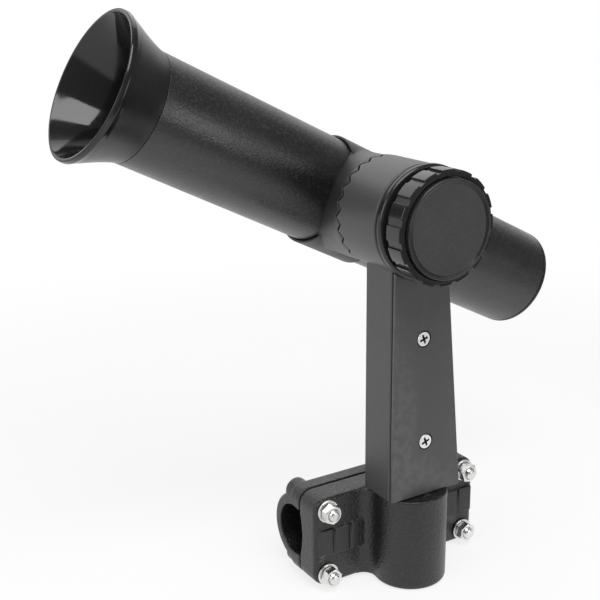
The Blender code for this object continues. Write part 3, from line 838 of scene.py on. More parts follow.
# Painted shade: a darker, duller plastic on the knob's faces that look straight to the front, standing in
# for their shade.
KNOB_FRONT_PAINTED_SHADE = Plastic(
    "knob_front_painted_shade", (0.006, 0.006, 0.007), 0.50, Skin.GRAIN, 1800.0, 0.02 * MM, specular=0.25
)
# Painted shade: a near-black plastic for the cover's faces in the well round each screw head, standing in
# for the shade in that gap.
WELL_PAINTED_SHADE = Plastic(
    "well_painted_shade", (0.003, 0.003, 0.003), 0.60, Skin.GRAIN, 1800.0, 0.02 * MM, specular=0.15
)
CAP_FACE = Plastic(
    "cap_face", (0.026, 0.026, 0.027), 0.58, Skin.GRAIN, 900.0, 0.05 * MM, tone_share=0.35, film_share=0.3
)
SCREW_ZINC = Metal("screw_zinc", (0.93, 0.93, 0.92), 0.42, (0.80, 0.80, 0.79), 0.008 * MM)
# Painted shade: a dark metal for the faces down in a screw's cross recess, standing in for the shade in the
# recess.
RECESS_PAINTED_SHADE = Metal("recess_painted_shade", (0.16, 0.16, 0.16), 0.60, (0.07, 0.07, 0.07), 0.020 * MM)
BRIGHT_ZINC = Metal("bright_zinc", (0.80, 0.80, 0.79), 0.24, (0.55, 0.55, 0.53), 0.010 * MM)
PLAIN_STEEL = Metal("plain_steel", (0.62, 0.62, 0.61), 0.34, (0.42, 0.42, 0.41), 0.012 * MM)
NUT_BRASS = Metal("nut_brass", (0.66, 0.48, 0.20), 0.32, (0.42, 0.30, 0.12), 0.012 * MM)


@dataclass
class Piece:
    """One visible piece and the CAD node that it stands for."""

    name: str
    mesh: Mesh
    finishes: Sequence[Finish]
    body: Body
    slot: Slot
    node: str

    def install(self) -> None:
        """Place the piece on its body in place of its CAD node, with flat faces that shade flat."""
        bench = linked("bench", self.mesh)
        bench.modifiers.new("even", "WEIGHTED_NORMAL").keep_sharp = True
        mesh = taken(bench, preserve_all_data_layers=True)
        mesh.name = self.name
        item = linked(self.name, mesh)
        for finish in self.finishes:
            mesh.materials.append(finish.material())
        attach(item, self.body.value)
        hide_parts(self.node)
        LOG.info("%s: %d faces on %s", self.name, len(mesh.polygons), self.body.value)


@dataclass
class RodTube:
    """The rod tube with the flared cup in its mouth and the plug in its tail."""

    bore: float = 21.7 * MM
    fore: float = 104.7 * MM
    aft: float = 128.2 * MM
    cup_length: float = 22.4 * MM
    lip_radius: float = 33.2 * MM
    flare_power: float = 1.25
    flare_run: float = 20.2 * MM
    funnel_power: float = 1.45
    bead_width: float = 4.4 * MM
    bead_step: float = 0.30 * MM
    rim_width: float = 1.5 * MM
    throat: float = 19.4 * MM
    stem: float = 16.0 * MM
    plug_lip: float = 2.0 * MM
    plug_stem: float = 9.0 * MM
    plug_wall: float = 3.3 * MM
    drain: float = 4.0 * MM

    def flare(self, height: float) -> float:
        """Radius of the cup's outside at a height along the tube."""
        share = (height - self.fore) / self.flare_run
        return LAYOUT.tube_radius + (self.lip_radius - LAYOUT.tube_radius) * share**self.flare_power

    def cup_outline(self) -> list[Point]:
        """Draw the cup: grooved rim, bead, flare, stem and glossy funnel.

        Returns:
            The points of the outline in the tube's frame.
        """
        lip = self.fore + self.cup_length
        bead_start = lip - self.bead_width
        waist = self.flare(bead_start)
        rim_out = self.lip_radius - 0.35 * MM
        rim_in = rim_out - self.rim_width
        bead = [
            (rim_in, lip - 0.25 * MM, 0.35 * MM),
            (rim_out - 0.6 * MM, lip, 0.3 * MM),
            (rim_out - 0.4 * MM, lip - 0.65 * MM, 0.08 * MM),
            (rim_out - 0.1 * MM, lip - 0.7 * MM, 0.08 * MM),
            (rim_out + 0.05 * MM, lip - 0.35 * MM, 0.12 * MM),
            (self.lip_radius, lip - 2.0 * MM, 1.2 * MM),
            (waist + self.bead_step, bead_start + 0.7 * MM, 0.5 * MM),
            (waist, bead_start, 0.4 * MM),
            (self.flare(bead_start - 2 * MM), bead_start - 2 * MM, 0.0),
        ]
        outline = rounded(bead, closed=False)
        steps = 14
        start = bead_start - 3 * MM
        for step in range(steps + 1):
            height = start + (self.fore - start) * step / steps
            outline.append((self.flare(max(height, self.fore)), height))
        stem = self.bore - LAYOUT.gap
        outline += [(stem, self.fore), (stem, self.fore - self.stem), (self.throat, self.fore - self.stem)]
        funnel_foot = self.fore - self.stem / 2
        rings = 22
        for ring in range(rings + 1):
            share = ring / rings
            height = funnel_foot + (lip - 0.8 * MM - funnel_foot) * share
            reach = self.throat + (rim_in - 0.25 * MM - self.throat) * share**self.funnel_power
            outline.append((reach, height))
        return outline

    def below_bead(self, spot: Vector) -> bool:
        """Tell whether a place in the tube's frame is on the flare's outside below the bead."""
        bead_start = self.fore + self.cup_length - self.bead_width
        radius = math.hypot(spot.x, spot.y)
        return spot.z < bead_start and radius > self.flare(max(spot.z, self.fore)) - 0.8 * MM

    def build(self) -> Iterator[Piece]:
        """Yield the tube, the cup and the plug."""
        place = LAYOUT.tube()
        outer = LAYOUT.tube_radius
        wall = [
            (outer, self.fore - LAYOUT.gap, 0.12 * MM),
            (outer, -self.aft, 0.3 * MM),
            (self.bore, -self.aft, 0.3 * MM),
            (self.bore, self.fore - LAYOUT.gap, 0.3 * MM),
        ]
        tube = mesh_of(lathe(wall, 160, place))
        yield Piece("tube_wall", tube, [TUBE_SKIN], Body.TUBE, Slot.TEXTURE, "rod_tube")
        cup = mesh_of(placed(turned(self.cup_outline(), 192), place), 40.0)
        to_tube = place.inverted()
        marked(cup, lambda face: self.below_bead(to_tube @ face.center))
        yield Piece("cup_shell", cup, [CUP_GLOSS, CUP_SATIN], Body.TUBE, Slot.GLOSS, "mouth_cup")
        tail = -self.aft - LAYOUT.gap
        end = tail - self.plug_lip
        dish = end + 0.8 * MM
        stem = self.bore - LAYOUT.gap
        inner = stem - self.plug_wall
        plug = [
            (stem, tail + self.plug_stem, 0.4 * MM),
            (stem, tail, 0.0),
            (outer, tail, 0.15 * MM),
            (outer - 0.1 * MM, end, 1.6 * MM),
            (outer - 5.0 * MM, end, 0.6 * MM),
            (outer - 5.6 * MM, dish, 0.4 * MM),
            (self.drain + 2.0 * MM, dish, 0.4 * MM),
            (self.drain + 1.4 * MM, end, 0.4 * MM),
            (self.drain, end, 0.4 * MM),
            (self.drain, tail + self.plug_lip, 0.2 * MM),
            (inner, tail + self.plug_lip, 0.6 * MM),
            (inner, tail + self.plug_stem, 0.4 * MM),
        ]
        cap = mesh_of(lathe(plug, 128, place))
        yield Piece("tail_cap", cap, [CUP_SATIN], Body.TUBE, Slot.SATIN, "tail_plug")


@dataclass
class Saddle:
    """The collar round the tube with the toothed boss that meets the post's head."""

    collar_wall: float = 1.5 * MM
    collar_fore: float = 6.4 * MM
    collar_aft: float = 24.0 * MM
    fillet: float = 2.4 * MM
    seat_floor: float = 8.8 * MM
    bore_end: float = -9.5 * MM
    boss_step: float = 0.1 * MM
    tooth_play: float = 0.5 * MM
    tooth_root: float = 1.6 * MM
    foot_radius: float = 25.5 * MM
    foot_back: float = 10.0 * MM
    foot_sink: float = 0.4 * MM
    collar_soft: Point = (0.4 * MM, 0.2 * MM)
    blend_fore: float = 1.0 * MM
    blend_aft: Point = (-23.5 * MM, -18.0 * MM)

    def turn(self, angle: float) -> float:
        """Angle round the hinge, counted from the direction of the tube's mouth."""
        return angle - (math.pi - LAYOUT.tube_tilt)

    def skin_height(self, angle: float, radius: float) -> float:
        """Find the collar or tube under a place on the boss.

        Args:
            angle: Angle of the place round the hinge.
            radius: Distance of the place from the hinge.

        Returns:
            The height towards the knob in the hinge's frame.
        """
        along = radius * math.cos(self.turn(angle))
        across = radius * math.sin(self.turn(angle))
        inside, outside = self.collar_soft
        fore = 1.0 - smooth_step(self.collar_fore - inside, self.collar_fore + outside, along)
        aft = smooth_step(-self.collar_aft - outside, -self.collar_aft + inside, along)
        skin = LAYOUT.tube_radius + self.collar_wall * fore * aft
        return math.sqrt(max(skin**2 - across**2, 0.0)) - LAYOUT.tube_offset

    def blend_at(self, angle: float) -> Point:
        """Find how the boss's foot meets the collar or the tube.

        Args:
            angle: Angle round the hinge.

        Returns:
            The fillet at the foot, and how deep the foot sinks where it overhangs the tube.
        """
        along = LAYOUT.head_radius * math.cos(self.turn(angle))
        fore = 1.0 - smooth_step(self.blend_fore, self.collar_fore, along)
        share = fore * smooth_step(*self.blend_aft, along)
        return LAYOUT.gap + (self.fillet - LAYOUT.gap) * share, self.foot_sink * (1.0 - share)

    def foot_at(self, angle: float) -> float:
        """Radius of the boss's foot, which draws in on the side that faces the mouth."""
        turn = self.turn(angle)
        drawn = math.sqrt(self.foot_radius**2 - (self.foot_back * math.sin(turn)) ** 2)
        return min(LAYOUT.head_radius - self.boss_step, drawn - self.foot_back * math.cos(turn))

    def boss_rows(self) -> list[Row]:
        """Draw the boss from the pivot hole out over the teeth and down to the collar.

        Returns:
            The rings in the hinge's frame.
        """
        tooth = LAYOUT.tooth_plane - LAYOUT.tooth_gap / 2 - self.tooth_play
        radius = LAYOUT.head_radius - self.boss_step
        top = tooth - self.tooth_root
        angles = LAYOUT.angles()
        waves = [tooth + LAYOUT.tooth_wave(angle) for angle in angles]
        rows = [
            LAYOUT.ring(LAYOUT.pivot_hole, self.bore_end),
            LAYOUT.ring(LAYOUT.pivot_hole, self.seat_floor),
            LAYOUT.ring(LAYOUT.pocket_radius, self.seat_floor),
            LAYOUT.ring(LAYOUT.pocket_radius, waves),
            LAYOUT.ring(radius - LAYOUT.tooth_bevel, waves),
            LAYOUT.ring(radius, [wave - LAYOUT.tooth_bevel for wave in waves]),
            LAYOUT.ring(radius, top),
        ]
        spots = [(angle, *self.blend_at(angle), self.foot_at(angle)) for angle in angles]
        wall_steps = 5
        for step in range(1, wall_steps):
            share = step / wall_steps
            reach = [radius + (foot - radius) * share for _, _, _, foot in spots]
            drops = [self.skin_height(angle, foot) + size - sink - top for angle, size, sink, foot in spots]
            rows.append(LAYOUT.ring(reach, [top + drop * share for drop in drops]))
        arc_steps = 7
        for step in range(arc_steps + 1):
            bend = math.pi / 2 * step / arc_steps
            reach = [foot + size * (1.0 - math.cos(bend)) for _, size, _, foot in spots]
            heights = []
            for (angle, size, sink, _), out in zip(spots, reach):
                heights.append(self.skin_height(angle, out) + size * (1.0 - math.sin(bend)) - sink)
            rows.append(LAYOUT.ring(reach, heights))
        sunk = [foot + size + 0.1 * MM for _, size, _, foot in spots]
        rows.append(LAYOUT.ring(sunk, [self.skin_height(a, out) - 0.7 * MM for a, out in zip(angles, sunk)]))
        inner = [foot - 3 * MM for _, _, _, foot in spots]
        buried = [self.skin_height(angle, foot) - 1.0 * MM for angle, _, _, foot in spots]
        rows.append(LAYOUT.ring(inner, buried))
        return rows

    def build(self) -> Iterator[Piece]:
        """Yield the collar and the boss as one piece."""
        inner = LAYOUT.tube_radius + LAYOUT.gap
        outer = LAYOUT.tube_radius + self.collar_wall
        collar = [
            (outer, self.collar_fore, 0.45 * MM),
            (outer, -self.collar_aft, 0.45 * MM),
            (inner + 0.5 * MM, -self.collar_aft, 0.15 * MM),
            (inner, -self.collar_aft + 1.4 * MM, 0.0),
            (inner, self.collar_fore - 0.7 * MM, 0.0),
            (inner + 0.2 * MM, self.collar_fore, 0.1 * MM),
        ]
        boss = placed(lofted(self.boss_rows(), closed=True), LAYOUT.hinge())
        mesh = mesh_of(joined(lathe(collar, 192, LAYOUT.tube()), boss), 38.0)
        yield Piece("saddle", mesh, [JOINT_SATIN], Body.TUBE, Slot.SATIN, "tube_saddle")


@dataclass
class Post:
    """The post moulding, its front cover and the two cover screws."""

    depth: float = 21.0 * MM
    left: float = -18.1 * MM
    right_foot: float = 20.3 * MM
    right_head: float = 8.6 * MM
    foot: float = 21.8 * MM
    shell_top: float = 131.5 * MM
    arch_foot: float = 129.2 * MM
    cover_thickness: float = 1.8 * MM
    edge: float = 0.7 * MM
    cover_edge: float = 0.55 * MM
    seam: float = 0.25 * MM
    cover_inset: float = 0.2 * MM
    spring_floor: float = 21.0 * MM
    screw_drops: tuple[float, float] = (52.0 * MM, 100.2 * MM)
    screw_radius: float = 3.3 * MM
    screw_sink: float = 0.45 * MM
    sink_depth: float = 1.0 * MM
    screw_depth: float = 1.7 * MM
    screw_shank: float = 1.5 * MM
    screw_length: float = 11.0 * MM
    screw_pitch: float = 1.0 * MM
    screw_turns: int = 8
    recess_top: Point = (2.35 * MM, 0.55 * MM)
    recess_floor: Point = (0.9 * MM, 0.385 * MM)
    recess_depth: float = 1.9 * MM
    recess_turn: float = math.radians(20)

    def right(self, z: float) -> float:
        """X of the leaning right side at a height."""
        lean = (self.right_foot - self.right_head) / (LAYOUT.hinge_z - self.foot)
        return self.right_foot - lean * (z - self.foot)

    def front(self) -> float:
        """Y of the cover's face."""
        return -LAYOUT.boss_stand - self.depth / 2

    def head_rows(self) -> list[Row]:
        """Draw the toothed head, from the front of its pivot hole round and back.

        Returns:
            The rings in the hinge's frame.
        """
        tooth = LAYOUT.tooth_plane + LAYOUT.tooth_gap / 2
        radius = LAYOUT.head_radius
        waves = [tooth + LAYOUT.tooth_wave(angle) for angle in LAYOUT.angles()]
        front = [
            (radius - 4 * MM, LAYOUT.head_front, 0.0),
            (radius, LAYOUT.head_front, 0.9 * MM),
            (radius, 30 * MM, 0.0),
        ]
        rows = [LAYOUT.ring(LAYOUT.pivot_hole, LAYOUT.head_front)]
        rows += [LAYOUT.ring(reach, height) for reach, height in rounded(front, closed=False)]
        rows += [
            LAYOUT.ring(radius, tooth + 2.4 * MM),
            LAYOUT.ring(radius, [wave + LAYOUT.tooth_bevel for wave in waves]),
            LAYOUT.ring(radius - LAYOUT.tooth_bevel, waves),
            LAYOUT.ring(LAYOUT.pocket_radius, waves),
            LAYOUT.ring(LAYOUT.pocket_radius, self.spring_floor),
            LAYOUT.ring(LAYOUT.pivot_hole, self.spring_floor),
        ]
        return rows

    def cover_outline(self) -> list[Point]:
        """Draw the cover: its foot, two sides and the arch under the head.

        Returns:
            The outline in X and Z.
        """
        reach = LAYOUT.head_radius + LAYOUT.gap
        inset = self.cover_inset
        outline = [(self.left + inset, self.foot), (self.right_foot - inset, self.foot)]
        low_angle = -math.acos((self.right(self.arch_foot) - inset - LAYOUT.hinge_x) / reach)
        high_angle = -math.pi + math.acos((LAYOUT.hinge_x - self.left - inset) / reach)
        steps = 28
        for step in range(steps + 1):
            angle = low_angle + (high_angle - low_angle) * step / steps
            across, up = reach * math.cos(angle), reach * math.sin(angle)
            outline.append((LAYOUT.hinge_x + across, LAYOUT.hinge_z + up))
        return outline

    def screw_spots(self) -> Iterator[Spot]:
        """Yield each cover screw's place."""
        for ending, drop in zip(("upper", "lower"), self.screw_drops):
            z = LAYOUT.hinge_z - drop
            yield Spot(ending, (self.right(z) + self.left) / 2, z)

    def cross_recess(self) -> Iterator[Solid]:
        """Yield the two tapered bars that cut a screw's cross recess."""
        top = -self.front() + 0.3 * MM
        ends = ((*self.recess_floor, top - self.recess_depth), (*self.recess_top, top))
        for turn in (0.0, math.pi / 2):
            rows = [[(-a, -b, h), (a, -b, h), (a, b, h), (-a, b, h)] for a, b, h in ends]
            yield placed(lofted(rows), Matrix.Rotation(turn + self.recess_turn, 4, "Z"))

    def screw(self, spot: Spot) -> Piece:
        """Make one countersunk cross-recess screw.

        Args:
            spot: Its place.

        Returns:
            The piece.
        """
        face = -self.front()
        seat = face - self.screw_depth
        end = face - self.screw_length
        outline = [(0.0, end), (0.6 * MM, end)]
        for thread in range(self.screw_turns):
            height = end + 0.7 * MM + thread * self.screw_pitch
            outline.append((self.screw_shank - 0.35 * MM, height))
            outline.append((self.screw_shank, height + 0.45 * self.screw_pitch))
        outline += [(self.screw_shank, seat), (self.screw_radius, face - 0.25 * MM)]
        dome = 5
        for step in range(dome + 1):
            share = step / dome
            outline.append(((self.screw_radius - 0.15 * MM) * (1 - share), face + 0.12 * MM * share))
        work = Workpiece(turned(outline, 64, closed=False)).carve(Carve.CUT, *self.cross_recess())

        def in_recess(facet: bpy.types.MeshPolygon) -> bool:
            """Tell whether a facet is down in the recess, where it takes the painted shade."""
            middle = facet.center
            level = seat - 1.0 * MM < middle.z < face - 0.1 * MM
            return level and math.hypot(middle.x, middle.y) < self.screw_shank + 1.0 * MM

        mesh = marked(work.take(30.0), in_recess)
        mesh.transform(spot.frame())
        name, node = f"cross_screw_{spot.ending}", f"cover_screw_{spot.ending}"
        return Piece(name, mesh, [SCREW_ZINC, RECESS_PAINTED_SHADE], Body.POST, Slot.STEEL, node)

    def in_well(self, face: bpy.types.MeshPolygon) -> bool:
        """Tell whether a face of the cover is in the well round a screw's head, which takes the painted
        shade.
        """
        near = min(math.hypot(face.center.x - spot.x, face.center.z - spot.z) for spot in self.screw_spots())
        return near < self.screw_radius + self.screw_sink + LAYOUT.gap

    def build(self) -> Iterator[Piece]:
        """Yield the moulding, the cover and its screws."""
        back = -LAYOUT.boss_stand + self.depth / 2
        tray_front = self.front() + self.cover_thickness + LAYOUT.gap
        sides = [
            (self.left, self.foot),
            (self.right_foot, self.foot),
            (self.right(self.shell_top), self.shell_top),
            (self.left, self.shell_top),
        ]
        column = bevelled(prism(sides, tray_front + self.seam, back), self.edge, 4)
        head = placed(lofted(self.head_rows(), closed=True), LAYOUT.hinge())
        mesh = mesh_of(joined(column, head), 38.0)
        yield Piece("post_moulding", mesh, [POST_SATIN], Body.POST, Slot.SATIN, "post_shell")
        plate = prism(self.cover_outline(), self.front(), tray_front - LAYOUT.gap)
        cover = Workpiece(bevelled(plate, self.cover_edge, 3))
        face = -self.front()
        hole, well = self.screw_shank + LAYOUT.gap, self.screw_radius + self.screw_sink
        sink = [
            (0.0, face - 4 * MM),
            (hole, face - 4 * MM),
            (hole, face - self.screw_depth),
            (well, face - self.sink_depth),
            (well, face + 1.0 * MM),
            (0.0, face + 1.0 * MM),
        ]
        for spot in self.screw_spots():
            cover.carve(Carve.CUT, placed(turned(sink, 64, closed=False), spot.frame()))
        # Faces in the wells round the screw heads take the painted shade.
        mesh = marked(cover.take(30.0), self.in_well)
        yield Piece("post_front", mesh, [POST_SATIN, WELL_PAINTED_SHADE], Body.POST, Slot.SATIN, "post_cover")
        yield from map(self.screw, self.screw_spots())


@dataclass
class Knob:
    """The lugged tightening knob and the cap in its face."""

    back: float = 40.2 * MM
    face: float = 55.8 * MM
    flange_radius: float = 24.6 * MM
    flange: float = 3.2 * MM
    groove: float = 3.0 * MM
    groove_radius: float = 20.8 * MM
    lug_radius: float = 24.1 * MM
    lug_count: int = 16
    lug_gap: float = 2.9 * MM
    lug_depth: float = 1.0 * MM
    lug_edge: float = 0.25 * MM
    cap_radius: float = 20.9 * MM
    cap_rim: float = 2.2 * MM
    cap_thickness: float = 3.0 * MM
    cap_dish: float = 0.55 * MM
    cap_dome: float = 0.35 * MM
    cap_seat: float = 54.3 * MM
    front_facing: float = 0.8
    front_depth: float = 1.0 * MM

    def lug_angles(self) -> list[Point]:
        """Lay out the lugs.

        Returns:
            Angles round the knob, each with how far its lug stands out from 0 to 1.
        """
        pitch = math.tau / self.lug_count
        half_gap = self.lug_gap / 2 / self.lug_radius
        soft = self.lug_edge / self.lug_radius
        start = half_gap + 1.6 * soft
        edge = [
            (half_gap - 0.5 * soft, 0.0),
            (half_gap, 0.06),
            (half_gap + 0.25 * soft, 0.75),
            (half_gap + 0.7 * soft, 0.95),
            (start, 1.0),
        ]
        across = 6
        crown = [(start + (pitch - 2 * start) * step / across, 1.0) for step in range(1, across)]
        mirrored = [(pitch - angle, lift) for angle, lift in reversed(edge)]
        marks = [(0.0, 0.0), *edge, *crown, *mirrored]
        lugs = range(self.lug_count)
        return [(lug * pitch + angle + pitch / 2, lift) for lug in lugs for angle, lift in marks]

    def rows(self) -> list[Row]:
        """Draw the knob from its pivot hole out over the flange and lugs and back into the cap's seat.

        Returns:
            The rings in the hinge's frame.
        """
        flange_top = self.back + self.flange
        lug_foot = flange_top + self.groove
        floor = self.lug_radius - self.lug_depth
        seat = self.cap_radius + LAYOUT.gap
        flange = [
            (LAYOUT.pivot_hole, self.back, 0.0),
            (self.flange_radius, self.back, 0.9 * MM),
            (self.flange_radius, flange_top, 1.5 * MM),
            (self.groove_radius, flange_top - 0.2 * MM, 0.3 * MM),
            (self.groove_radius, lug_foot, 0.3 * MM),
            (floor, lug_foot, 0.0),
        ]
        lift = self.lug_depth
        lugs = [
            (floor, lug_foot + 0.05 * MM, 0.35 * lift),
            (floor, lug_foot + 0.35 * MM, 0.9 * lift),
            (floor, lug_foot + 0.8 * MM, lift),
            (floor, self.face - 1.0 * MM, lift),
            (floor, self.face - 0.8 * MM, 0.97 * lift),
            (floor, self.face - 0.65 * MM, 0.85 * lift),
            (floor - 0.1 * MM, self.face - 0.6 * MM, 0.6 * lift),
            (floor - 0.3 * MM, self.face - 0.55 * MM, 0.0),
        ]
        inside = [
            (floor - 0.35 * MM, self.face - 0.54 * MM, 0.0),
            (seat + 0.3 * MM, self.face - 0.1 * MM, 0.25 * MM),
            (seat, self.face - 0.6 * MM, 0.1 * MM),
            (seat, self.cap_seat, 0.0),
            (LAYOUT.pivot_hole, self.cap_seat, 0.0),
        ]
        plain = []
        for part in (flange, inside):
            plain.append([(radius, height, 0.0) for radius, height in rounded(part, closed=False)])
        angles = self.lug_angles()
        rows = []
        for radius, height, rise in plain[0] + lugs + plain[1]:
            reaches = [(radius + rise * lug, angle) for angle, lug in angles]
            rows.append([(out * math.cos(angle), out * math.sin(angle), height) for out, angle in reaches])
        return rows

    def build(self) -> Iterator[Piece]:
        """Yield the grip and the cap."""
        place = LAYOUT.hinge()
        grip = mesh_of(placed(lofted(self.rows(), closed=True), place), 40.0)
        level = self.front_depth - self.face
        # Faces that look straight to the front take the painted shade.
        marked(grip, lambda face: face.normal.y < -self.front_facing and face.center.y < level)
        yield Piece("knob_grip", grip, [KNOB_GLOSS, KNOB_FRONT_PAINTED_SHADE], Body.KNOB, Slot.GLOSS, "knob_body")
        foot = self.cap_seat + LAYOUT.gap
        top = foot + self.cap_thickness
        dish = top - self.cap_dish
        ring_in = self.cap_radius - self.cap_rim
        face_radius = ring_in - 0.6 * MM
        corners = [
            (0.0, foot, 0.0),
            (self.cap_radius, foot, 0.1 * MM),
            (self.cap_radius, top, 0.65 * MM),
            (self.cap_radius - 1.0 * MM, top - 0.05 * MM, 0.25 * MM),
            (ring_in, dish, 0.3 * MM),
            (face_radius, dish, 0.0),
        ]
        outline = rounded(corners, closed=False)
        rings = 16
        for ring in range(1, rings + 1):
            share = 1.0 - ring / rings
            outline.append((face_radius * share, dish + self.cap_dome * (1.0 - share**2)))
        cap = mesh_of(placed(turned(outline, 160, closed=False), place), 40.0)
        to_hinge = place.inverted()
        marked(cap, lambda face: (to_hinge @ face.center).xy.length < ring_in - 0.2 * MM)
        yield Piece("knob_disc", cap, [KNOB_GLOSS, CAP_FACE], Body.KNOB, Slot.SATIN, "knob_cap")


@dataclass
class RailClamp:
    """The two clamp mouldings round the rail, with the socket boss on the front one."""

    bore: float = 12.0 * MM
    wall: float = 5.0 * MM
    half_length: float = 45.5 * MM
    corner: float = 6.0 * MM
    front: float = -18.5 * MM
    split_front: float = -5.4 * MM
    split_back: float = -4.6 * MM
    wing_back: float = 3.4 * MM
    groove_radius: float = 34.0 * MM
    groove_depth: float = 1.8 * MM
    slot_half: float = 11.7 * MM
    tower_radius: float = 5.5 * MM
    tower_back: float = 9.0 * MM
    head_seat: float = 5.0 * MM
    pocket_flats: float = 8.6 * MM
    front_rim: Point = (2.8 * MM, 1.3 * MM)
    split_rim: Point = (0.5 * MM, 0.5 * MM)
    back_rim: Point = (1.6 * MM, 1.2 * MM)
    band_half: float = 6.5 * MM
    band_rise: float = 1.2 * MM
    band_reach: float = 44.0 * MM
    band_groove: float = 0.8 * MM
    band_lines: Point = (35.8 * MM, 26.9 * MM)
    line_half: float = 0.55 * MM
    line_depths: Point = (0.3 * MM, 1.4 * MM)
    boss_radius: float = 17.0 * MM
    boss_base: float = -22.5 * MM
    web_fillet: float = 6.0 * MM
    socket: float = 9.0 * MM
    socket_floor: float = -13.0 * MM
    counterbore: float = 7.2 * MM
    counterbore_top: float = -17.6 * MM
    screw_hole: float = 3.3 * MM
    bolt_hole: float = 2.8 * MM
    hole_ends: Point = (-20 * MM, 30 * MM)
    pocket_end: float = -30 * MM
    past: float = 60 * MM
    voxel: float = 0.42 * MM

    def outline(self, inset_x: float, inset_z: float) -> list[Point]:
        """Draw a clamp half seen from the front.

        Args:
            inset_x: How far it is drawn in at each end.
            inset_z: How far it is drawn in at top and foot.

        Returns:
            The outline in X and Z.
        """
        x, z = self.half_length - inset_x, LAYOUT.clamp_top - inset_z
        fillet = self.corner - max(inset_x, inset_z)
        return rounded([(-x, -z, fillet), (x, -z, fillet), (x, z, fillet), (-x, z, fillet)])

    def plate(self, low: float, high: float, low_rim: Point, high_rim: Point) -> Solid:
        """Make a clamp plate with rounded rims.

        Args:
            low: Y of its front.
            high: Y of its back.
            low_rim: Rounding of the front rim along X and along Z.
            high_rim: Rounding of the back rim along X and along Z.

        Returns:
            The plate.
        """
        steps = 6
        rows = []
        for rim, (round_x, round_z), inwards in ((low, low_rim, 1), (high, high_rim, -1)):
            depth = (round_x + round_z) / 2
            ring = []
            for step in range(steps + 1):
                bend = math.pi / 2 * step / steps
                drawn = 1.0 - math.sin(bend)
                y = rim + inwards * depth * (1.0 - math.cos(bend))
                ring.append([(x, y, z) for x, z in self.outline(round_x * drawn, round_z * drawn)])
            rows += ring[::inwards]
        return lofted(rows)

    def bolt_spots(self) -> Iterator[Spot]:
        """Yield each clamp bolt's place."""
        for row, z in (("upper", LAYOUT.bolt_z), ("lower", -LAYOUT.bolt_z)):
            for side, x in (("left", -LAYOUT.bolt_x), ("right", LAYOUT.bolt_x)):
                yield Spot(f"{row}_{side}", x, z)

    def bolt_holes(self) -> Iterator[Solid]:
        """Yield a bar for each bolt hole."""
        for spot in self.bolt_spots():
            yield bar(self.bolt_hole, *self.hole_ends, spot.frame(), 32)

    def band_pocket(self) -> Solid:
        """Return the cutter for the groove round the raised band."""
        reach, half = self.band_reach + self.band_groove, self.band_half + self.band_groove
        return box((-reach, self.front - 1 * MM, -half), (reach, self.front + self.band_groove, half))

    def band(self) -> Solid:
        """Return the raised band across the front."""
        low = (-self.band_reach, self.front - self.band_rise, -self.band_half)
        return bevelled(box(low, (self.band_reach, self.front + 2 * MM, self.band_half)), 0.3 * MM, 2)

    def line_cutters(self) -> Iterator[Solid]:
        """Yield the cutters for the band's upright lines, which get deeper towards the top."""
        face = self.front - self.band_rise
        ends = zip((-self.band_half - 0.2 * MM, self.band_half + 0.5 * MM), self.line_depths)
        levels = [(z, face - 1 * MM, face + depth) for z, depth in ends]
        for line in self.band_lines:
            for x in (-line, line):
                left, right = x - self.line_half, x + self.line_half
                rows = [[(left, y, z), (right, y, z), (right, b, z), (left, b, z)] for z, y, b in levels]
                yield lofted(rows)

    def web(self) -> Solid:
        """Make the web between plate and boss, with a hollow fillet on each side.

        Returns:
            The web.
        """
        steps = 10
        inner = self.boss_radius - 0.15 * MM
        right = [(inner + self.web_fillet, self.front + 2 * MM)]
        for step in range(steps + 1):
            bend = math.pi / 2 * step / steps
            x = inner + self.web_fillet * (1.0 - math.sin(bend))
            right.append((x, self.front - self.web_fillet * (1.0 - math.cos(bend))))
        right.append((inner, 1.1 * MM - LAYOUT.boss_stand))
        outline = right + [(-x, y) for x, y in reversed(right)]
        top = LAYOUT.clamp_top - 0.4 * MM
        return lofted([[(x, y, z) for x, y in outline] for z in (-top, top)])

    def on_band(self, face: bpy.types.MeshPolygon) -> bool:
        """Tell whether a face is on the band's front, clear of the boss, where it takes the paler finish
        that is partly painted light.
        """
        x, y, z = face.center
        level = y < self.front - 0.6 * self.band_rise and abs(z) < self.band_half
        return level and self.boss_radius + self.web_fillet < abs(x) < self.band_reach

    def front_half(self) -> Piece:
        """Make the front moulding.

        Returns:
            The piece.
        """
        top = LAYOUT.clamp_top
        work = Workpiece(self.plate(self.front, self.split_front, self.front_rim, self.split_rim))
        work.carve(Carve.CUT, self.band_pocket())
        work.carve(Carve.ADD, self.band())
        work.carve(Carve.CUT, *self.line_cutters())
        corners = [
            (0.0, self.boss_base, 0.0),
            (self.boss_radius, self.boss_base, 1.8 * MM),
            (self.boss_radius, top, 0.5 * MM),
            (0.0, top, 0.0),
        ]
        work.carve(Carve.ADD, self.web(), lathe(corners, 96, LAYOUT.swivel(), closed=False))
        groove_y = self.split_front - self.groove_depth + self.groove_radius
        groove = Matrix.Translation((0.0, groove_y, 0.0)) @ Matrix.Rotation(math.pi / 2, 4, "Y")
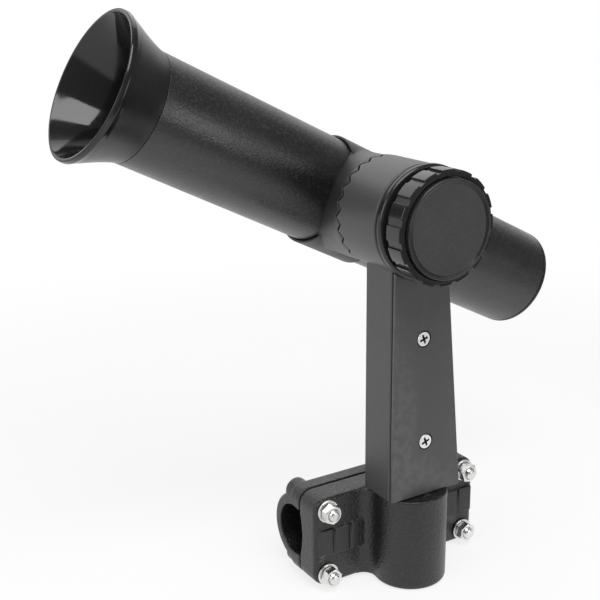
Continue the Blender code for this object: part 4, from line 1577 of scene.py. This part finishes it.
        # The drills are turned a little, so that no facet of theirs shares an edge with the boss.
        drill = LAYOUT.swivel() @ Matrix.Rotation(math.radians(1.3), 4, "Z")
        work.carve(
            Carve.CUT,
            bar(self.groove_radius, -self.past, self.past, groove, 160),
            *self.bolt_holes(),
            bar(self.socket, self.socket_floor, top + 5 * MM, drill),
            bar(self.counterbore, self.boss_base - 5 * MM, self.counterbore_top, drill),
            bar(self.screw_hole, self.boss_base, self.socket_floor + 1 * MM, drill, 32),
        )
        mesh = marked(work.soften(self.voxel).take(60.0), self.on_band)
        finishes = [CLAMP_NYLON, CLAMP_BAND_PAINTED_LIGHT]
        return Piece("clamp_front", mesh, finishes, Body.CLAMP, Slot.NYLON, "clamp_front_half")

    def back_half(self) -> Piece:
        """Make the back moulding, with a sunk hexagon for each bolt's head.

        Returns:
            The piece.
        """
        work = Workpiece(self.plate(self.split_back, self.wing_back, self.split_rim, self.back_rim))
        along_rail = Matrix.Rotation(math.pi / 2, 4, "Y")
        barrel = self.bore + self.wall
        ends = [
            (0.0, -self.half_length, 0.0),
            (barrel, -self.half_length, 1.8 * MM),
            (barrel, self.half_length, 1.8 * MM),
            (0.0, self.half_length, 0.0),
        ]
        work.carve(Carve.ADD, lathe(ends, 96, along_rail, closed=False))
        tower_front = -self.split_back - 0.5 * MM
        tower = [
            (0.0, -self.tower_back, 0.0),
            (self.tower_radius, -self.tower_back, 0.9 * MM),
            (self.tower_radius, tower_front, 0.0),
            (0.0, tower_front, 0.0),
        ]
        places = [spot.frame() for spot in self.bolt_spots()]
        pocket = self.pocket_flats / math.sqrt(3)
        work.carve(Carve.ADD, *(lathe(tower, 48, place, closed=False) for place in places))
        work.carve(Carve.CUT, *(bar(pocket, self.pocket_end, -self.head_seat, place, 6) for place in places))
        past = self.past
        work.carve(
            Carve.CUT,
            box((-past, -past, -past), (past, self.split_back, past)),
            bar(self.bore, -past, past, along_rail, 96),
            box((-past, -past, -self.slot_half), (past, 0.0, self.slot_half)),
            *self.bolt_holes(),
        )
        mesh = work.soften(self.voxel).take(60.0)
        return Piece("clamp_back", mesh, [CLAMP_NYLON], Body.JAW, Slot.NYLON, "clamp_back_half")

    def build(self) -> Iterator[Piece]:
        """Yield the two mouldings."""
        yield self.front_half()
        yield self.back_half()


@dataclass
class ClampFasteners:
    """The four clamp bolts with their washers and nuts."""

    face: float = 18.5 * MM
    washer_radius: float = 5.2 * MM
    washer: float = 1.0 * MM
    nut_flats: float = 8.0 * MM
    nut_height: float = 4.0 * MM
    chamfer: float = 0.97
    edge: float = 0.12 * MM
    bolt_radius: float = 2.5 * MM
    bolt_proud: float = 1.6 * MM
    head_seat: float = 5.0 * MM
    head_height: float = 3.5 * MM
    pitch: float = 0.8 * MM

    def hexagon(self, low: float, high: float, both_ends: bool) -> Workpiece:
        """Make a hexagon whose corners are chamfered by a turned cone.

        Args:
            low: Its lower end.
            high: Its upper end.
            both_ends: Whether the lower end is chamfered too.

        Returns:
            The workpiece, so that a hole can be cut.
        """
        corner = self.nut_flats / math.sqrt(3)
        land = self.nut_flats / 2 * self.chamfer
        drop = (corner - land) * math.tan(math.radians(30))
        past = corner * 1.001
        foot = [(0.0, low), (land, low), (past, low + drop)] if both_ends else [(0.0, low), (past, low)]
        cone = turned([*foot, (past, high - drop), (land, high), (0.0, high)], 64, closed=False)
        return Workpiece(bar(corner, low, high, Matrix.Identity(4), 6)).carve(Carve.KEEP, cone)

    def piece(self, name: str, mesh: Mesh, body: Body, node: str, spot: Spot) -> Piece:
        """Return a zinc-plated fastener, named after its place."""
        return Piece(f"{name}_{spot.ending}", mesh, [BRIGHT_ZINC], body, Slot.STEEL, f"{node}_{spot.ending}")

    def nut(self, spot: Spot) -> Piece:
        """Make one chamfered nut, turned by a different amount at each bolt.

        Args:
            spot: Its place.

        Returns:
            The piece.
        """
        low = self.face + LAYOUT.gap + self.washer + LAYOUT.gap
        high = low + self.nut_height
        bore = self.bolt_radius + self.edge
        flare = bore + 0.5 * MM + 1 * MM
        hole = [(0.0, low - 1 * MM), (flare, low - 1 * MM), (bore, low + 0.5 * MM)]
        hole += [(bore, high - 0.5 * MM), (flare, high + 1 * MM), (0.0, high + 1 * MM)]
        work = self.hexagon(low, high, True).carve(Carve.CUT, turned(hole, 48, closed=False))
        mesh = work.bevel(self.edge).take(35.0)
        turn = math.radians(math.copysign(37.0, spot.x) + math.copysign(11.0, spot.z))
        mesh.transform(spot.frame() @ Matrix.Rotation(turn, 4, "Z"))
        return self.piece("hex_nut", mesh, Body.CLAMP, "clamp_nut", spot)

    def plain_washer(self, spot: Spot) -> Piece:
        """Make one washer with rounded edges.

        Args:
            spot: Its place.

        Returns:
            The piece.
        """
        low = self.face + LAYOUT.gap
        high = low + self.washer
        inner = self.bolt_radius + 0.2 * MM
        corners = [
            (self.washer_radius, high, 0.25 * MM),
            (self.washer_radius, low, 0.2 * MM),
            (inner, low, 0.1 * MM),
            (inner, high, 0.2 * MM),
        ]
        mesh = mesh_of(lathe(corners, 64, spot.frame()))
        return self.piece("flat_washer", mesh, Body.CLAMP, "clamp_washer", spot)

    def bolt(self, spot: Spot) -> Piece:
        """Make one bolt: a chamfered head behind, and a threaded end with a domed tip in front.

        Args:
            spot: Its place.

        Returns:
            The piece.
        """
        seat = -self.head_seat - LAYOUT.gap
        tip = self.face + 2 * LAYOUT.gap + self.washer + self.nut_height + self.bolt_proud
        root = self.bolt_radius - 0.3 * MM
        outline = [(0.0, seat - 0.5 * MM), (self.bolt_radius, seat - 0.5 * MM), (self.bolt_radius, 0.0)]
        height = 0.4 * MM
        while height < tip - 1.4 * self.pitch:
            outline += [(root, height + 0.5 * self.pitch), (self.bolt_radius, height + self.pitch)]
            height += self.pitch
        outline += [
            (root + 0.05 * MM, tip - 0.55 * MM),
            (root - 0.25 * MM, tip - 0.25 * MM),
            (root - 0.9 * MM, tip - 0.05 * MM),
            (0.0, tip),
        ]
        shank = turned(outline, 48, closed=False)
        mesh = self.hexagon(seat - self.head_height, seat, False).bevel(self.edge).take(35.0)
        lift = Matrix.Translation((0.0, 0.0, -2 * seat + self.head_height))
        mesh.transform(Matrix.Rotation(math.pi, 4, "X") @ lift)
        head = bmesh.new()
        head.from_mesh(mesh)
        bpy.data.meshes.remove(mesh)
        whole = mesh_of(placed(joined(shank, head), spot.frame()), 35.0)
        return self.piece("hex_bolt", whole, Body.JAW, "clamp_bolt", spot)

    def build(self, clamp: RailClamp) -> Iterator[Piece]:
        """Yield a bolt, a washer and a nut for each hole of the clamp."""
        for spot in clamp.bolt_spots():
            yield from (self.bolt(spot), self.plain_washer(spot), self.nut(spot))


@dataclass
class InnerHardware:
    """CAD nodes that keep their own shape and only take a finish."""

    steel: tuple[str, ...] = (
        "swivel_spigot",
        "swivel_washer",
        "swivel_screw",
        "knob_washer",
        "release_washer",
    )
    zinc: tuple[str, ...] = ("release_spring", "pivot_bolt")
    brass: tuple[str, ...] = ("knob_nut",)

    def dress(self) -> None:
        """Give every kept node its metal."""
        for names, finish in ((self.steel, PLAIN_STEEL), (self.zinc, BRIGHT_ZINC), (self.brass, NUT_BRASS)):
            for name in names:
                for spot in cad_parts[name].material_slots:
                    spot.material = finish.material()
                LOG.info("%s keeps its CAD shape", name)


@dataclass
class Studio:
    """White sweep, soft lamps and the camera of the product shot."""

    camera_place: Corner = (-279.93 * MM, -389.49 * MM, 247.92 * MM)
    azimuth: float = math.radians(-31.57)
    elevation: float = math.radians(16.76)
    roll: float = math.radians(0.58)
    focal_pixels: float = 1095.67
    image_size: float = 600.0
    sensor: float = 36.0
    centre: Point = (300.41, 299.35)
    aim: Corner = (0.0, 0.0, 0.11)
    clip: Point = (0.01, 50.0)
    world_fill: float = 0.34
    front_level: float = 0.20
    sweep_low: float = 0.05
    sweep_high: float = 0.60
    paper: tuple[float, ...] = (0.93, 0.93, 0.93, 1.0)
    white: tuple[float, ...] = (1.0, 1.0, 1.0, 1.0)
    paper_edge: Corner = (0.4, -1.0, 0.0)
    floor_size: float = 6.0
    pool_inner: float = 0.15
    pool_outer: float = 0.45
    pool_level: float = 0.20
    shadow_inner: float = 0.25
    shadow_outer: float = 0.60
    shadow_share: float = 0.22

    def camera(self) -> None:
        """Place the camera at the photograph's viewing angle."""
        flat = math.cos(self.elevation)
        back = Vector(
            (math.sin(self.azimuth) * flat, -math.cos(self.azimuth) * flat, math.sin(self.elevation))
        )
        level = (-back).cross(Vector((0.0, 0.0, 1.0))).normalized()
        down = -level.cross(-back)
        right = math.cos(self.roll) * level + math.sin(self.roll) * down
        under = -math.sin(self.roll) * level + math.cos(self.roll) * down
        pose = Matrix((right, -under, back)).transposed().to_4x4()
        pose.translation = self.camera_place
        lens = bpy.data.cameras.new("product_camera")
        lens.sensor_width = self.sensor
        lens.lens = self.sensor * self.focal_pixels / self.image_size
        lens.shift_x = -(self.centre[0] - self.image_size / 2) / self.image_size
        lens.shift_y = (self.centre[1] - self.image_size / 2) / self.image_size
        lens.clip_start, lens.clip_end = self.clip
        holder = linked("product_camera", lens)
        holder.matrix_world = pose
        bpy.context.scene.camera = holder

    def world(self) -> None:
        """White for the camera, a bright back and dim front for reflections, a plain fill for the rest."""
        world = bpy.data.worlds.new("white_sweep")
        bpy.context.scene.world = world
        world.use_nodes = True
        world.cycles.sampling_method = "NONE"
        graph = Graph(world.node_tree)
        world.node_tree.nodes.clear()
        rays = graph.add("ShaderNodeLightPath").outputs
        seen = graph.maths("MAXIMUM", rays["Is Camera Ray"], rays["Is Transmission Ray"])
        heading = graph.add("ShaderNodeTexCoord").outputs["Generated"]
        behind = graph.add("ShaderNodeSeparateXYZ", {0: heading}).outputs["Y"]
        sweep = graph.ramp(behind, self.sweep_low, self.sweep_high, self.front_level)
        mirrored = graph.mix(rays["Is Glossy Ray"], self.world_fill, sweep)
        strength = graph.mix(seen, mirrored, 1.0)
        shade = graph.add("ShaderNodeBackground", {"Color": self.white, "Strength": strength})
        graph.add("ShaderNodeOutputWorld", {"Surface": shade.outputs[0]})

    def floor(self) -> None:
        """Pale floor under the clamp that keeps the object's soft shadow and fades into the sweep."""
        work = bmesh.new()
        bmesh.ops.create_grid(work, x_segments=8, y_segments=8, size=self.floor_size)
        bmesh.ops.translate(work, vec=(0.0, 0.0, CAD_BOX[0][2] - LAYOUT.gap), verts=work.verts)
        sheet = linked("pale_floor", mesh_of(work))
        material = bpy.data.materials.new("pale_floor")
        material.use_nodes = True
        material.cycles.emission_sampling = "NONE"
        graph = Graph(material.node_tree)
        material.node_tree.nodes.clear()
        rays = graph.add("ShaderNodeLightPath").outputs
        place = graph.add("ShaderNodeNewGeometry").outputs["Position"]
        away = graph.add("ShaderNodeVectorMath", {0: place}, operation="LENGTH").outputs["Value"]
        ahead = graph.add("ShaderNodeVectorMath", {0: place, 1: self.paper_edge}, operation="DOT_PRODUCT")
        seen = graph.maths("MAXIMUM", rays["Is Camera Ray"], rays["Is Transmission Ray"])
        lit = graph.maths("MAXIMUM", seen, rays["Is Glossy Ray"])
        pool = graph.ramp(ahead.outputs["Value"], self.pool_inner, self.pool_outer, 1.0, self.pool_level)
        shadow = graph.ramp(away, self.shadow_inner, self.shadow_outer, self.shadow_share, 0.0)
        share = graph.maths("SUBTRACT", lit, graph.maths("MULTIPLY", seen, shadow))
        paper = graph.add("ShaderNodeBsdfDiffuse", {"Color": self.paper}).outputs[0]
        glow = {"Color": self.white, "Strength": graph.mix(seen, pool, 1.0)}
        white = graph.add("ShaderNodeEmission", glow).outputs[0]
        mixed = graph.add("ShaderNodeMixShader", {0: share, 1: paper, 2: white})
        graph.add("ShaderNodeOutputMaterial", {"Surface": mixed.outputs[0]})
        sheet.data.materials.append(material)

    def softbox(self, name: str, heading: Corner, far: float, size: Point, radiance: float) -> None:
        """Add one softbox aimed at the object.

        Args:
            name: Name of the lamp.
            heading: Direction in which it stands, seen from the object.
            far: Its distance.
            size: Width and height of its face.
            radiance: Brightness of its face, where 1 is white.
        """
        aim = Vector(self.aim)
        light = bpy.data.lights.new(name, "AREA")
        light.shape = "RECTANGLE"
        light.size, light.size_y = size
        light.energy = radiance * math.pi * size[0] * size[1]
        holder = linked(name, light)
        holder.location = aim + Vector(heading).normalized() * far
        holder.rotation_euler = (aim - holder.location).to_track_quat("-Z", "Y").to_euler()
        holder.visible_camera = False

    def build(self) -> None:
        """Set up the whole studio."""
        bpy.context.scene.view_settings.view_transform = "Standard"
        self.camera()
        self.world()
        self.floor()
        self.softbox("key_softbox", (-0.08, -0.48, 0.87), 0.9, (0.60, 0.55), 5.5)
        self.softbox("left_softbox", (-0.85, -0.22, 0.35), 1.0, (0.55, 0.55), 3.0)
        self.softbox("right_softbox", (0.42, -0.90, 0.05), 0.9, (0.50, 0.50), 2.0)
        self.softbox("back_softbox", (0.10, 0.65, 0.75), 1.0, (1.10, 0.70), 0.8)


def main() -> None:
    """Build the sub-assemblies in order, then the studio."""
    logging.basicConfig(level=logging.INFO, format="%(name)s %(message)s")
    clamp = RailClamp()
    builders = [
        clamp.build(),
        ClampFasteners().build(clamp),
        Post().build(),
        Knob().build(),
        Saddle().build(),
        RodTube().build(),
    ]
    for builder in builders:
        for piece in builder:
            piece.install()
    InnerHardware().dress()
    Studio().build()


if __name__ == "__main__":
    main()
